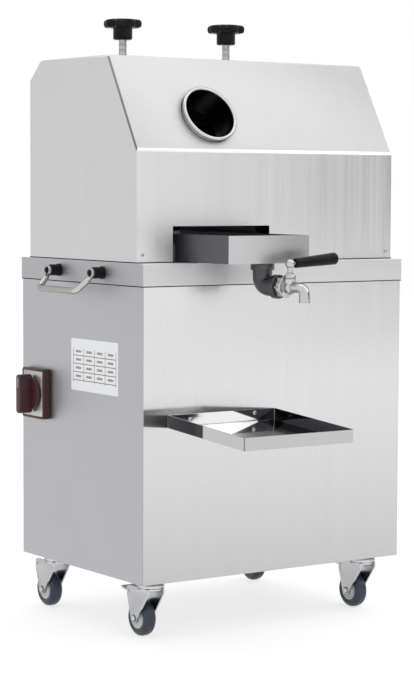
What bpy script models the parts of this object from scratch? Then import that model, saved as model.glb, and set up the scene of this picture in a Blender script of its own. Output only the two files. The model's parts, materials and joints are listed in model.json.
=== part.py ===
"""Electric sugarcane juicer on casters: a sheet-steel cabinet with a three-roller press head under a hood.

The origin is on the floor, under the middle of the machine's footprint, with +X to the right as the
operator sees it, +Y to the back and +Z up. Distances named "from left" and "from front" run from the
cabinet's left side and front panel.
"""

import math

import bmesh
import bpy
from mathutils import Matrix, Vector

MM = 0.001
GAP = 0.3 * MM
WELD = 0.00001

# Cabinet and deck
CABINET_WIDTH = 460 * MM
CABINET_DEPTH = 336 * MM
DECK_HEIGHT = 450.3 * MM
CABINET_SHEET = 1.5 * MM
BACK_FLANGE = 16 * MM
SKIRT_HEIGHT = 31.4 * MM
SKIRT_OVERHANG = 1.3 * MM
DECK_SHEET = 1.0 * MM
BED_THICKNESS = 8 * MM
BED_FRONT_INSET = 24 * MM
BED_BACK_INSET = 24 * MM
RAIL_LEG = 24 * MM
RAIL_SHEET = 3 * MM
REAR_PANEL_SHEET = 1.2 * MM
REAR_PANEL_INSET = 7 * MM
LOUVRE_COUNT = 9
LOUVRE_LENGTH = 150 * MM
LOUVRE_HEIGHT = 5 * MM
LOUVRE_PITCH = 15 * MM
LOUVRE_FROM_BASE = 190 * MM

# Hood
HOOD_SIDE_INSET = 1.8 * MM
HOOD_FRONT_INSET = 21.4 * MM
HOOD_BACK_INSET = 19.8 * MM
HOOD_HEIGHT = 292 * MM
HOOD_FRONT_RISE = 157.8 * MM
HOOD_SLOPE_RUN = 75.6 * MM
HOOD_CHAMFER_DEPTH = 28.8 * MM
HOOD_CHAMFER_DROP = 26.4 * MM
HOOD_SHEET = 1.2 * MM
HOOD_FOLD_RADIUS = 2.5 * MM

# Front opening for the juice tray
MOUTH_LEFT_SPACE = 27.5 * MM
MOUTH_RIGHT_SPACE = 1.5 * MM
MOUTH_HEIGHT = 50.9 * MM

# Feed tube, square to the sloped panel
TUBE_LEFT_OF_HEAD = 20.2 * MM
TUBE_UP_SLOPE = 56.7 * MM
TUBE_OUTER_RADIUS = 42.5 * MM
TUBE_WALL = 2.0 * MM
TUBE_PROTRUSION = 10 * MM
TUBE_INSIDE_LENGTH = 44 * MM
TUBE_RIM_RADIUS = 2.75 * MM
TUBE_RIM_ANGLES = (-95, -30, 35, 100)

# Press head
HEAD_LEFT_SPACE = 68.5 * MM
DRIVE_SPACE = 208.5 * MM
HEAD_FROM_FRONT = 163 * MM
CHEEK_THICKNESS = 30 * MM
CHEEK_FOOT_HALF = 118 * MM
CHEEK_FOOT_HEIGHT = 22 * MM
CHEEK_WALL = 22 * MM
CHEEK_CORNER = 14 * MM
CAP_THICKNESS = 14 * MM
CAP_CLEARANCE = 26.5 * MM
ROLLER_RADIUS = 41 * MM
ROLLER_END_SPACE = 7 * MM
FLUTE_COUNT = 22
FLUTE_DEPTH = 2.2 * MM
LOWER_AXIS_HEIGHT = 119.7 * MM
LOWER_HALF_SPACING = 49 * MM
NIP_GAP = 2.6 * MM
SHAFT_RADIUS = 15 * MM
SHAFT_END = 5 * MM
BLOCK_HALF_WIDTH = 30 * MM
BLOCK_HALF_HEIGHT = 32 * MM
TURNER_TOP_HALF = 11 * MM
TURNER_STEM_HALF = 4 * MM
TURNER_DEPTH = 46 * MM
TIE_ROD_RADIUS = 8 * MM
TIE_ROD_HEIGHT = 60 * MM
TIE_ROD_OFFSET = 78 * MM

# Roller gears
GEAR_TEETH = 21
GEAR_WIDTH = 20 * MM
GEAR_TO_CHEEK = 4 * MM
GEAR_ADDENDUM = 1.0
GEAR_DEDENDUM = 1.25
GEAR_PRESSURE_ANGLE = math.radians(20)
GEAR_BACKLASH = 1.4 * MM

# Pressure screws and star knobs
SCREW_RADIUS = 6 * MM
SCREW_SOCKET_DEPTH = 12 * MM
SCREW_HOLE_CLEARANCE = 1.0 * MM
KNOB_CLEARANCE = 26.7 * MM
KNOB_HUB_RADIUS = 14 * MM
KNOB_HUB_HEIGHT = 17 * MM
KNOB_STAR_RADIUS = 28 * MM
KNOB_STAR_THICKNESS = 12.5 * MM
KNOB_LOBES = 8
KNOB_LOBE_DEPTH = 5.5 * MM
KNOB_SOCKET_DEPTH = 22 * MM

# Gearbox and motor
GEARBOX_TO_GEAR = 7 * MM
GEARBOX_WIDTH = 100 * MM
GEARBOX_HALF = 64 * MM
GEARBOX_CORNER = 26 * MM
GEARBOX_HUB_RADIUS = 36 * MM
GEARBOX_HUB_LENGTH = 8 * MM
WORM_OFFSET = 63 * MM
WORM_HOUSING_RADIUS = 40 * MM
MOTOR_FLANGE_RADIUS = 66 * MM
MOTOR_FLANGE_THICKNESS = 9 * MM
MOTOR_RADIUS = 54 * MM
MOTOR_FIN_HEIGHT = 7 * MM
MOTOR_FINS = 14
MOTOR_LENGTH = 150 * MM
COWL_LENGTH = 46 * MM
COWL_CORNER = 10 * MM
COWL_OVERLAP = 6 * MM
COWL_CLEARANCE = 1.5 * MM
MOTOR_HOLE_CLEARANCE = 5 * MM
PEDESTAL_DEPTH = 50 * MM
PEDESTAL_SHEET = 6 * MM

# Discharge chute at the back of the hood
CHUTE_WALL_HEIGHT = 46 * MM
CHUTE_SHEET = 1.5 * MM
CHUTE_START = 96 * MM
CHUTE_EAR = 24 * MM
CHUTE_EAR_RISE = 12 * MM
CHUTE_OVERHANG = 22 * MM
CHUTE_DROP = 34 * MM
CHUTE_HEIGHT = 108 * MM
OUTLET_HEIGHT = 78 * MM

# Juice tray and its outlet
JUICE_TRAY_SIDE_SPACE = 7 * MM
JUICE_TRAY_REACH = 77 * MM
JUICE_TRAY_INSIDE = 252 * MM
JUICE_TRAY_HEIGHT = 39.2 * MM
JUICE_TRAY_SHEET = 1.2 * MM
OUTLET_FROM_TRAY_FRONT = 17.5 * MM
ELBOW_COLLAR_RADIUS = 16.8 * MM
ELBOW_BODY_RADIUS = 13.8 * MM
ELBOW_BORE_RADIUS = 9.5 * MM
ELBOW_COLLAR_LENGTH = 9 * MM
ELBOW_DROP = 31.5 * MM
ELBOW_REACH = 33 * MM

# Tap
TAP_TURN = math.radians(11.5)
TAP_NUT_RADIUS = 15 * MM
TAP_NUT_LENGTH = 8.5 * MM
TAP_FLANGE_RADIUS = 15 * MM
TAP_FLANGE_THICKNESS = 3.5 * MM
TAP_BODY_RADIUS = 10 * MM
TAP_STEM_DISTANCE = 51.7 * MM
TAP_TIP_DISTANCE = 78.6 * MM
TAP_TIP_DROP = 20.5 * MM
SPOUT_RADIUS = 7.6 * MM
SPOUT_BORE_RADIUS = 5 * MM
SPOUT_BORE_DEPTH = 9 * MM
BONNET_HEIGHT = 17 * MM
BONNET_RADIUS = 8.5 * MM
LEVER_HEIGHT = 32.6 * MM
LEVER_BALL_RADIUS = 6.6 * MM
LEVER_BALL_ANGLES = (0, 36, 72, 108, 140)
LEVER_RISE = math.radians(4.5)
LEVER_ROD_RADIUS = 3.5 * MM
GRIP_START = 8 * MM
GRIP_LENGTH = 72 * MM
GRIP_ROOT_RADIUS = 6.8 * MM
GRIP_TIP_RADIUS = 8.6 * MM

# Cup tray
CUP_TRAY_FROM_LEFT = 41 * MM
CUP_TRAY_WIDTH = 186 * MM
CUP_TRAY_REACH = 184 * MM
CUP_TRAY_RIM_HEIGHT = 238 * MM
CUP_TRAY_DEPTH = 18 * MM
CUP_TRAY_SHEET = 1.2 * MM
CUP_TRAY_DROOP = math.radians(4.2)

# Side handles
HANDLE_FROM_FRONT = 165.4 * MM
HANDLE_SPACING = 120 * MM
POST_RADIUS = 8.4 * MM
POST_FLANGE_RADIUS = 9.2 * MM
POST_FLANGE_THICKNESS = 3 * MM
POST_LENGTH = 16.5 * MM
POST_RIBS = 3
POST_RIB_DEPTH = 1.4 * MM
POST_SCREW_HEAD_RADIUS = 5 * MM
POST_SCREW_HEAD_HEIGHT = 2.6 * MM
EYE_RADIUS = 7 * MM
EYE_BORE_RADIUS = 3.3 * MM
EYE_THICKNESS = 4.5 * MM
BAIL_ROD_RADIUS = 4.6 * MM
BAIL_OUT = 20.3 * MM
BAIL_DROP = 25.6 * MM
BAIL_INSET = 8 * MM
BAIL_BEND_RADIUS = 8 * MM
BAIL_NECK_SHARE = 0.5
BAIL_NECK_LENGTH = 6 * MM

# Rotary switch on the left side
SWITCH_FROM_FRONT = 286.5 * MM
SWITCH_HEIGHT = 248 * MM
BEZEL_WIDTH = 64 * MM
BEZEL_HEIGHT = 75 * MM
BEZEL_THICKNESS = 11.5 * MM
BEZEL_CORNER = 5 * MM
SWITCH_DISC_RADIUS = 24 * MM
SWITCH_DISC_THICKNESS = 5 * MM
SWITCH_GRIP_LENGTH = 58 * MM
SWITCH_GRIP_WIDTH = 13 * MM
SWITCH_GRIP_OUT = 25 * MM

# Cable gland in the rear panel
GLAND_FROM_LEFT = 60 * MM
GLAND_HEIGHT = 70 * MM
GLAND_RADIUS = 12 * MM
GLAND_DOME_RADIUS = 9.5 * MM
GLAND_BORE_RADIUS = 4.5 * MM
GLAND_LENGTH = 22 * MM

# Casters
CASTER_HEIGHT = 84 * MM
CASTER_INSET = 37.5 * MM
CASTER_PLATE = 46 * MM
CASTER_PLATE_SHEET = 2.5 * MM
RACE_RADIUS = 20 * MM
RACE_HEIGHT = 8 * MM
FORK_SHEET = 2.5 * MM
FORK_CROWN_RADIUS = 17.5 * MM
FORK_INNER_HALF = 12 * MM
CASTER_TRAIL = 22 * MM
WHEEL_RADIUS = 26 * MM
WHEEL_THICKNESS = 20 * MM
HUB_RADIUS = 15 * MM
AXLE_RADIUS = 4 * MM
PEDAL_PIVOT_BACK = 35 * MM
PEDAL_PIVOT_DROP = 20 * MM
PEDAL_PIN_RADIUS = 2.2 * MM
PEDAL_LENGTH = 25 * MM
PEDAL_SHEET = 2.5 * MM

# Reference planes worked out from the sizes above
LEFT = -CABINET_WIDTH / 2
FRONT = (CUP_TRAY_REACH - CABINET_DEPTH - CHUTE_OVERHANG) / 2
BACK = FRONT + CABINET_DEPTH
BASE_Z = CASTER_HEIGHT
DECK_Z = BASE_Z + DECK_HEIGHT
SEAT_Z = DECK_Z + GAP
HOOD_TOP_Z = SEAT_Z + HOOD_HEIGHT
HOOD_FRONT = FRONT + HOOD_FRONT_INSET
HOOD_BACK = BACK - HOOD_BACK_INSET
SLOPE_RISE = HOOD_HEIGHT - HOOD_FRONT_RISE
SLOPE_ANGLE = math.atan2(HOOD_SLOPE_RUN, SLOPE_RISE)

SCREW_SPACING = CABINET_WIDTH - HEAD_LEFT_SPACE - DRIVE_SPACE
HEAD_X = LEFT + HEAD_LEFT_SPACE + SCREW_SPACING / 2
HEAD_Y = FRONT + HEAD_FROM_FRONT
CHEEK_HEIGHT = HOOD_HEIGHT - HOOD_SHEET - CAP_CLEARANCE - CAP_THICKNESS - GAP
CHEEK_X = (HEAD_X - SCREW_SPACING / 2, HEAD_X + SCREW_SPACING / 2)
CHEEK_INNER_HALF = (SCREW_SPACING - CHEEK_THICKNESS) / 2
ROLLER_LENGTH = 2 * (CHEEK_INNER_HALF - ROLLER_END_SPACE)
CENTRE_DISTANCE = 2 * ROLLER_RADIUS + NIP_GAP
TOP_RISE = math.sqrt(CENTRE_DISTANCE ** 2 - LOWER_HALF_SPACING ** 2)
LOWER_Z = SEAT_Z + LOWER_AXIS_HEIGHT
TOP_Z = LOWER_Z + TOP_RISE
GEAR_MODULE = (CENTRE_DISTANCE - 2 * GAP) / GEAR_TEETH
CHEEK_RIGHT_FACE = CHEEK_X[1] + CHEEK_THICKNESS / 2
GEAR_X = CHEEK_RIGHT_FACE + GEAR_TO_CHEEK + GEAR_WIDTH / 2
GEARBOX_X = GEAR_X + GEAR_WIDTH / 2 + GEARBOX_TO_GEAR + GEARBOX_WIDTH / 2
MOTOR_Y = HEAD_Y - LOWER_HALF_SPACING + WORM_OFFSET
MOTOR_TOP_Z = LOWER_Z - GEARBOX_HALF - GAP
JUICE_TRAY_WIDTH = 2 * (CHEEK_INNER_HALF - JUICE_TRAY_SIDE_SPACE)
OUTLET_X = HEAD_X
OUTLET_Y = FRONT - JUICE_TRAY_REACH + OUTLET_FROM_TRAY_FRONT
TAP_Z = DECK_Z - ELBOW_DROP
SKIRT_MID_Z = DECK_Z - SKIRT_HEIGHT / 2

# Ways to stand a flat outline or a turned profile: its own x, y and z run along these world axes
UPRIGHT = Matrix.Identity(3)
ALONG_X = Matrix(((0, 0, 1), (1, 0, 0), (0, 1, 0)))
ALONG_Y = Matrix(((1, 0, 0), (0, 0, -1), (0, 1, 0)))

# Looks: base colour, metallic, roughness
BRUSHED_STEEL = ((0.60, 0.60, 0.61), 1.0, 0.34)
POLISHED_STEEL = ((0.72, 0.72, 0.73), 1.0, 0.14)
CAST_STEEL = ((0.25, 0.25, 0.26), 0.9, 0.48)
CHROME = ((0.78, 0.78, 0.79), 1.0, 0.08)
DARK_PAINT = ((0.10, 0.12, 0.14), 0.2, 0.50)
BLACK_PLASTIC = ((0.018, 0.018, 0.019), 0.0, 0.32)
BROWN_PLASTIC = ((0.065, 0.022, 0.021), 0.0, 0.30)
BLUE_RUBBER = ((0.045, 0.065, 0.10), 0.0, 0.45)


def clear_scene():
    """Remove every object of the start-up scene."""
    for item in list(bpy.data.objects):
        bpy.data.objects.remove(item, do_unlink=True)


def new_collection(name):
    """Make a collection under the scene's own."""
    made = bpy.data.collections.new(name)
    bpy.context.scene.collection.children.link(made)
    return made


def dress(item, look):
    """Give an object its own Principled material."""
    colour, metallic, roughness = look
    made = bpy.data.materials.new(item.name + "_finish")
    made.use_nodes = True
    shader = made.node_tree.nodes["Principled BSDF"]
    shader.inputs["Base Color"].default_value = (*colour, 1.0)
    shader.inputs["Metallic"].default_value = metallic
    shader.inputs["Roughness"].default_value = roughness
    item.data.materials.clear()
    item.data.materials.append(made)


def place(item, origin, stand=UPRIGHT):
    """Set an object's turn and its origin in the world."""
    item.matrix_world = Matrix.Translation(Vector(origin)) @ stand.to_4x4()


def add_part(name, data, look, origin=(0, 0, 0), stand=UPRIGHT):
    """Add a finished sub-part to the product's collection."""
    item = bpy.data.objects.new(name, data)
    PARTS.objects.link(item)
    dress(item, look)
    place(item, origin, stand)
    return item


def add_tool(name, data, origin=(0, 0, 0), stand=UPRIGHT):
    """Add a shape that only cuts or joins another."""
    item = bpy.data.objects.new(name, data)
    TOOLS.objects.link(item)
    item.hide_render = True
    item.display_type = 'WIRE'
    place(item, origin, stand)
    return item


def solver(item, tool, operation):
    """Join a tool to an object, or cut it away."""
    boolean = item.modifiers.new(operation.lower(), 'BOOLEAN')
    boolean.operation = operation
    boolean.solver = 'EXACT'
    boolean.object = tool


def cut(item, tool):
    """Cut a tool out of an object."""
    solver(item, tool, 'DIFFERENCE')


def fuse(item, tool):
    """Join a tool to an object."""
    solver(item, tool, 'UNION')


def box_mesh(name, size, centre=(0, 0, 0)):
    """A box of a given size around a centre."""
    form = bmesh.new()
    bmesh.ops.create_cube(form, size=1.0)
    bmesh.ops.scale(form, vec=Vector(size), verts=form.verts)
    bmesh.ops.translate(form, vec=Vector(centre), verts=form.verts)
    return mesh_of(name, form)


def cylinder_mesh(name, radius, length, sides, tip_radius=None):
    """A closed cylinder or cone frustum along z, centred on its origin."""
    form = bmesh.new()
    top = radius if tip_radius is None else tip_radius
    bmesh.ops.create_cone(form, cap_ends=True, segments=sides, radius1=radius, radius2=top, depth=length)
    return mesh_of(name, form, smooth=True)


def mesh_of(name, form, smooth=False):
    """Turn a bmesh into mesh data, shaded smooth on request."""
    data = bpy.data.meshes.new(name)
    form.to_mesh(data)
    form.free()
    if smooth:
        data.shade_smooth()
        data.set_sharp_from_angle(angle=math.radians(35))
    return data


def outline_curve(name, loops, thickness):
    """A flat outline with any holes, given thickness along its own z."""
    curve = bpy.data.curves.new(name, 'CURVE')
    curve.dimensions = '2D'
    curve.fill_mode = 'BOTH'
    curve.extrude = thickness / 2
    for loop in loops:
        spline = curve.splines.new('POLY')
        spline.points.add(len(loop) - 1)
        for point, (across, up) in zip(spline.points, loop):
            point.co = (across, up, 0, 1)
        spline.use_cyclic_u = True
    return curve


def rod_curve(name, points, radius, sides=2, shares=None):
    """A round rod through a list of points; each point may take only a share of the radius."""
    curve = bpy.data.curves.new(name, 'CURVE')
    curve.dimensions = '3D'
    curve.bevel_depth = radius
    curve.bevel_resolution = sides
    curve.use_fill_caps = True
    spline = curve.splines.new('POLY')
    spline.points.add(len(points) - 1)
    for point, co, share in zip(spline.points, points, shares or [1.0] * len(points)):
        point.co = (*co, 1)
        point.radius = share
    return curve


def solid_mesh(name, curve):
    """Turn curve data into welded mesh data that Booleans accept."""
    holder = bpy.data.objects.new(name, curve)
    bpy.context.scene.collection.objects.link(holder)
    graph = bpy.context.evaluated_depsgraph_get()
    data = bpy.data.meshes.new_from_object(holder.evaluated_get(graph))
    bpy.data.objects.remove(holder, do_unlink=True)
    form = bmesh.new()
    form.from_mesh(data)
    bmesh.ops.remove_doubles(form, verts=form.verts, dist=WELD)
    form.to_mesh(data)
    form.free()
    return data


def outline_mesh(name, loops, thickness):
    """A flat outline as welded mesh data."""
    return solid_mesh(name, outline_curve(name, loops, thickness))


def turned(name, profile, look, origin, stand=UPRIGHT, steps=32, closed=False, tool=False):
    """A turned piece: a profile of (radius, height) pairs swept about its own z by a Screw modifier."""
    data = bpy.data.meshes.new(name)
    edges = [(i, i + 1) for i in range(len(profile) - 1)]
    if closed:
        edges.append((len(profile) - 1, 0))
    data.from_pydata([(radius, 0, height) for radius, height in profile], edges, [])
    item = add_tool(name, data, origin, stand) if tool else add_part(name, data, look, origin, stand)
    screw = item.modifiers.new("turn", 'SCREW')
    screw.axis = 'Z'
    screw.steps = steps
    screw.render_steps = steps
    screw.use_merge_vertices = True
    screw.merge_threshold = WELD
    screw.use_smooth_shade = True
    return item


def circle(radius, sides, centre=(0, 0)):
    """Points round a circle."""
    turn = 2 * math.pi / sides
    return [(centre[0] + radius * math.cos(i * turn), centre[1] + radius * math.sin(i * turn))
            for i in range(sides)]


def rounded(points, radius, steps=3):
    """Replace each corner of an outline by a short arc, no longer than its sides allow."""
    made = []
    count = len(points)
    for i, here in enumerate(points):
        corner = Vector(here)
        before = Vector(points[i - 1]) - corner
        after = Vector(points[(i + 1) % count]) - corner
        half = before.angle(after) / 2
        reach = min(radius / math.tan(half), 0.45 * before.length, 0.45 * after.length)
        bend = reach * math.tan(half)
        start = corner + before.normalized() * reach
        end = corner + after.normalized() * reach
        centre = corner + (before.normalized() + after.normalized()).normalized() * bend / math.sin(half)
        first = math.atan2(start.y - centre.y, start.x - centre.x)
        sweep = math.remainder(math.atan2(end.y - centre.y, end.x - centre.x) - first, 2 * math.pi)
        made += [(centre.x + bend * math.cos(first + sweep * k / steps),
                  centre.y + bend * math.sin(first + sweep * k / steps)) for k in range(steps + 1)]
    return made


def rectangle(width, height, centre=(0, 0)):
    """Corners of an upright rectangle."""
    across, up = width / 2, height / 2
    corners = ((-1, -1), (1, -1), (1, 1), (-1, 1))
    return [(centre[0] + dx * across, centre[1] + dy * up) for dx, dy in corners]


def open_tray(name, size, sheet, look, origin, corner, droop=0.0):
    """A folded tray, open at the top, with its rim at z = 0; it may slope down to the front."""
    width, depth, height = size
    form = bmesh.new()
    bmesh.ops.create_cube(form, size=1.0)
    bmesh.ops.scale(form, vec=Vector((width, depth, height)), verts=form.verts)
    bmesh.ops.translate(form, vec=Vector((0, 0, -height / 2)), verts=form.verts)
    uprights = [e for e in form.edges if abs(e.verts[0].co.z - e.verts[1].co.z) > height / 2]
    bmesh.ops.bevel(form, geom=uprights, offset=corner, segments=3, profile=0.5, affect='EDGES')
    lid = [f for f in form.faces if f.normal.z > 0.5]
    bmesh.ops.delete(form, geom=lid, context='FACES')
    for v in form.verts:
        v.co.z += (v.co.y - depth / 2) * math.tan(droop)
    item = add_part(name, mesh_of(name, form), look, origin)
    thicken(item, sheet)
    return item


def thicken(item, sheet):
    """Give an open skin its sheet thickness, inwards."""
    solidify = item.modifiers.new("sheet", 'SOLIDIFY')
    solidify.thickness = sheet
    solidify.offset = -1
    solidify.use_even_offset = True


def cabinet_shell():
    """Floor, front and sides of the cabinet, with a flange round the open back."""
    height = DECK_HEIGHT - DECK_SHEET - GAP
    form = bmesh.new()
    bmesh.ops.create_cube(form, size=1.0)
    bmesh.ops.scale(form, vec=Vector((CABINET_WIDTH, CABINET_DEPTH, height)), verts=form.verts)
    back = [f for f in form.faces if f.normal.y > 0.5]
    bmesh.ops.inset_region(form, faces=back, thickness=BACK_FLANGE)
    lids = back + [f for f in form.faces if f.normal.z > 0.5]
    bmesh.ops.delete(form, geom=lids, context='FACES')
    centre = (0, FRONT + CABINET_DEPTH / 2, BASE_Z + height / 2)
    item = add_part("cabinet_shell", mesh_of("cabinet_shell", form), BRUSHED_STEEL, centre)
    thicken(item, CABINET_SHEET)


def deck_plate():
    """The lid of the cabinet: a sheet with a turned-down skirt, holed for the motor."""
    width = CABINET_WIDTH + 2 * SKIRT_OVERHANG
    depth = CABINET_DEPTH + 2 * SKIRT_OVERHANG
    form = bmesh.new()
    bmesh.ops.create_cube(form, size=1.0)
    bmesh.ops.scale(form, vec=Vector((width, depth, SKIRT_HEIGHT)), verts=form.verts)
    under = [f for f in form.faces if f.normal.z < -0.5]
    bmesh.ops.delete(form, geom=under, context='FACES')
    centre = (0, FRONT + CABINET_DEPTH / 2, DECK_Z - SKIRT_HEIGHT / 2)
    item = add_part("deck_plate", mesh_of("deck_plate", form), BRUSHED_STEEL, centre)
    thicken(item, DECK_SHEET)
    cut(item, motor_hole("deck_motor_hole"))


def motor_hole(name):
    """The round opening that the motor hangs through."""
    data = cylinder_mesh(name, MOTOR_FLANGE_RADIUS + MOTOR_HOLE_CLEARANCE, 60 * MM, 32)
    return add_tool(name, data, (GEARBOX_X, MOTOR_Y, DECK_Z))


def bed_plate():
    """The thick plate under the deck that carries the press head, on two angle rails."""
    width = CABINET_WIDTH - 2 * (CABINET_SHEET + GAP)
    depth = CABINET_DEPTH - BED_FRONT_INSET - BED_BACK_INSET
    top = DECK_Z - DECK_SHEET - GAP
    middle_y = FRONT + BED_FRONT_INSET + depth / 2
    item = add_part("bed_plate", box_mesh("bed_plate", (width, depth, BED_THICKNESS)), DARK_PAINT,
                    (0, middle_y, top - BED_THICKNESS / 2))
    cut(item, motor_hole("bed_motor_hole"))
    rail_top = top - BED_THICKNESS - GAP
    for side, name in ((-1, "bed_rail_left"), (1, "bed_rail_right")):
        wall = side * (CABINET_WIDTH / 2 - CABINET_SHEET - GAP)
        inner = wall - side * RAIL_LEG
        web = wall - side * RAIL_SHEET
        low = rail_top - RAIL_LEG
        ledge = rail_top - RAIL_SHEET
        loop = [(wall, rail_top), (inner, rail_top), (inner, ledge), (web, ledge), (web, low), (wall, low)]
        add_part(name, outline_curve(name, [loop], depth), DARK_PAINT, (0, middle_y, 0), ALONG_Y)


def rear_panel():
    """The louvred back panel, screwed over the flange."""
    width = CABINET_WIDTH - 2 * REAR_PANEL_INSET
    height = DECK_HEIGHT - SKIRT_HEIGHT - 2 * REAR_PANEL_INSET
    middle_z = BASE_Z + REAR_PANEL_INSET + height / 2
    loops = [rounded(rectangle(width, height), 6 * MM, 2)]
    for column in (-1, 1):
        for row in range(LOUVRE_COUNT):
            up = BASE_Z + LOUVRE_FROM_BASE + row * LOUVRE_PITCH - middle_z
            across = column * width / 4
            loops.append(rectangle(LOUVRE_LENGTH, LOUVRE_HEIGHT, (across, up)))
    gland_centre = (LEFT + GLAND_FROM_LEFT, BASE_Z + GLAND_HEIGHT - middle_z)
    loops.append(circle(GLAND_DOME_RADIUS + GAP, 16, gland_centre))
    centre_y = BACK + GAP + REAR_PANEL_SHEET / 2
    add_part("rear_panel", outline_curve("rear_panel", loops, REAR_PANEL_SHEET), BRUSHED_STEEL,
             (0, centre_y, middle_z), ALONG_Y)


def cable_gland():
    """The gland where the mains lead enters: a collar inside and a domed nut outside the panel."""
    inner = -6 * MM
    panel = REAR_PANEL_SHEET + 2 * GAP
    body = GLAND_RADIUS
    neck = GLAND_DOME_RADIUS - GAP
    top = GLAND_LENGTH
    profile = [(GLAND_BORE_RADIUS, top), (neck * 0.7, top), (neck, panel + 8 * MM), (body, panel + 7 * MM),
               (body, panel), (neck, panel), (neck, 0), (body, 0), (body, inner),
               (GLAND_BORE_RADIUS, inner)]
    turned("cable_gland", profile, BLACK_PLASTIC,
           (LEFT + GLAND_FROM_LEFT, BACK, BASE_Z + GLAND_HEIGHT),
           Matrix(((1, 0, 0), (0, 0, 1), (0, -1, 0))), steps=12, closed=True)


def hood():
    """The sheet hood over the press head: an upright front, a slope, a flat top and a back chamfer."""
    side = [(HOOD_FRONT, 0), (HOOD_BACK, 0), (HOOD_BACK, HOOD_HEIGHT - HOOD_CHAMFER_DROP),
            (HOOD_BACK - HOOD_CHAMFER_DEPTH, HOOD_HEIGHT), (HOOD_FRONT + HOOD_SLOPE_RUN, HOOD_HEIGHT),
            (HOOD_FRONT, HOOD_FRONT_RISE)]
    width = CABINET_WIDTH - 2 * HOOD_SIDE_INSET
    data = outline_mesh("hood", [side], width)
    form = bmesh.new()
    form.from_mesh(data)
    bmesh.ops.dissolve_limit(form, angle_limit=math.radians(1), verts=form.verts, edges=form.edges)
    folds = [e for e in form.edges if min(v.co.y for v in e.verts) > GAP]
    bmesh.ops.bevel(form, geom=folds, offset=HOOD_FOLD_RADIUS, segments=1, profile=0.5, affect='EDGES')
    under = [f for f in form.faces if all(v.co.y < GAP for v in f.verts)]
    bmesh.ops.delete(form, geom=under, context='FACES')
    form.to_mesh(data)
    form.free()
    item = add_part("hood", data, BRUSHED_STEEL, (0, 0, SEAT_Z), ALONG_X)
    thicken(item, HOOD_SHEET)
    cut(item, mouth_cutter())
    cut(item, tube_cutter())
    cut(item, outlet_cutter())
    for x, name in zip(CHEEK_X, ("left", "right")):
        hole = cylinder_mesh("hood_screw_hole", SCREW_RADIUS + SCREW_HOLE_CLEARANCE, 30 * MM, 16)
        cut(item, add_tool("hood_screw_hole_" + name, hole, (x, HEAD_Y, HOOD_TOP_Z)))


def mouth_cutter():
    """The opening in the hood's front that the juice tray slides through."""
    low = -10 * MM
    width = JUICE_TRAY_WIDTH + MOUTH_LEFT_SPACE + MOUTH_RIGHT_SPACE
    data = box_mesh("mouth", (width, 20 * MM, MOUTH_HEIGHT - low))
    middle_x = HEAD_X + (MOUTH_RIGHT_SPACE - MOUTH_LEFT_SPACE) / 2
    return add_tool("mouth", data, (middle_x, HOOD_FRONT, SEAT_Z + (MOUTH_HEIGHT + low) / 2))


def tube_axis():
    """Where the feed tube crosses the sloped panel, and the turn that points its z out of the panel."""
    slope = Vector((0, math.sin(SLOPE_ANGLE), math.cos(SLOPE_ANGLE)))
    outward = Vector((0, -slope.z, slope.y))
    fold = Vector((HEAD_X - TUBE_LEFT_OF_HEAD, HOOD_FRONT, SEAT_Z + HOOD_FRONT_RISE))
    side = Vector((1, 0, 0))
    stand = Matrix((side, slope, -outward)).transposed()
    return fold + slope * TUBE_UP_SLOPE, outward, stand


def tube_cutter():
    """The round hole in the slope for the feed tube."""
    point, _, stand = tube_axis()
    data = cylinder_mesh("tube_hole", TUBE_OUTER_RADIUS + 2 * GAP, 40 * MM, 32)
    return add_tool("tube_hole", data, point, stand)


def outlet_cutter():
    """The opening in the hood's back where the pressed cane leaves over the chute."""
    width = 2 * CHEEK_INNER_HALF
    low = SEAT_Z + CHUTE_HEIGHT - CHUTE_DROP
    data = box_mesh("outlet", (width, 20 * MM, OUTLET_HEIGHT))
    return add_tool("outlet", data, (HEAD_X, HOOD_BACK, low + OUTLET_HEIGHT / 2))


def feed_tube():
    """The round feed tube with its rolled rim, square to the slope."""
    point, outward, _ = tube_axis()
    outer = TUBE_OUTER_RADIUS
    inner = outer - TUBE_WALL
    out = TUBE_PROTRUSION
    rim = outer - TUBE_WALL / 2
    first = math.asin(min(1.0, TUBE_WALL / 2 / TUBE_RIM_RADIUS))
    last = math.pi - first
    turns = [-last] + [math.radians(a) for a in TUBE_RIM_ANGLES] + [last]
    arc = [(rim + TUBE_RIM_RADIUS * math.sin(t), out + TUBE_RIM_RADIUS * (math.cos(t) - 1)) for t in turns]
    profile = arc + [(outer, -TUBE_INSIDE_LENGTH), (inner, -TUBE_INSIDE_LENGTH)]
    stand = Matrix((Vector((1, 0, 0)), outward.cross(Vector((1, 0, 0))), outward)).transposed()
    turned("feed_tube", profile, POLISHED_STEEL, point, stand, steps=28, closed=True)


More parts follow.
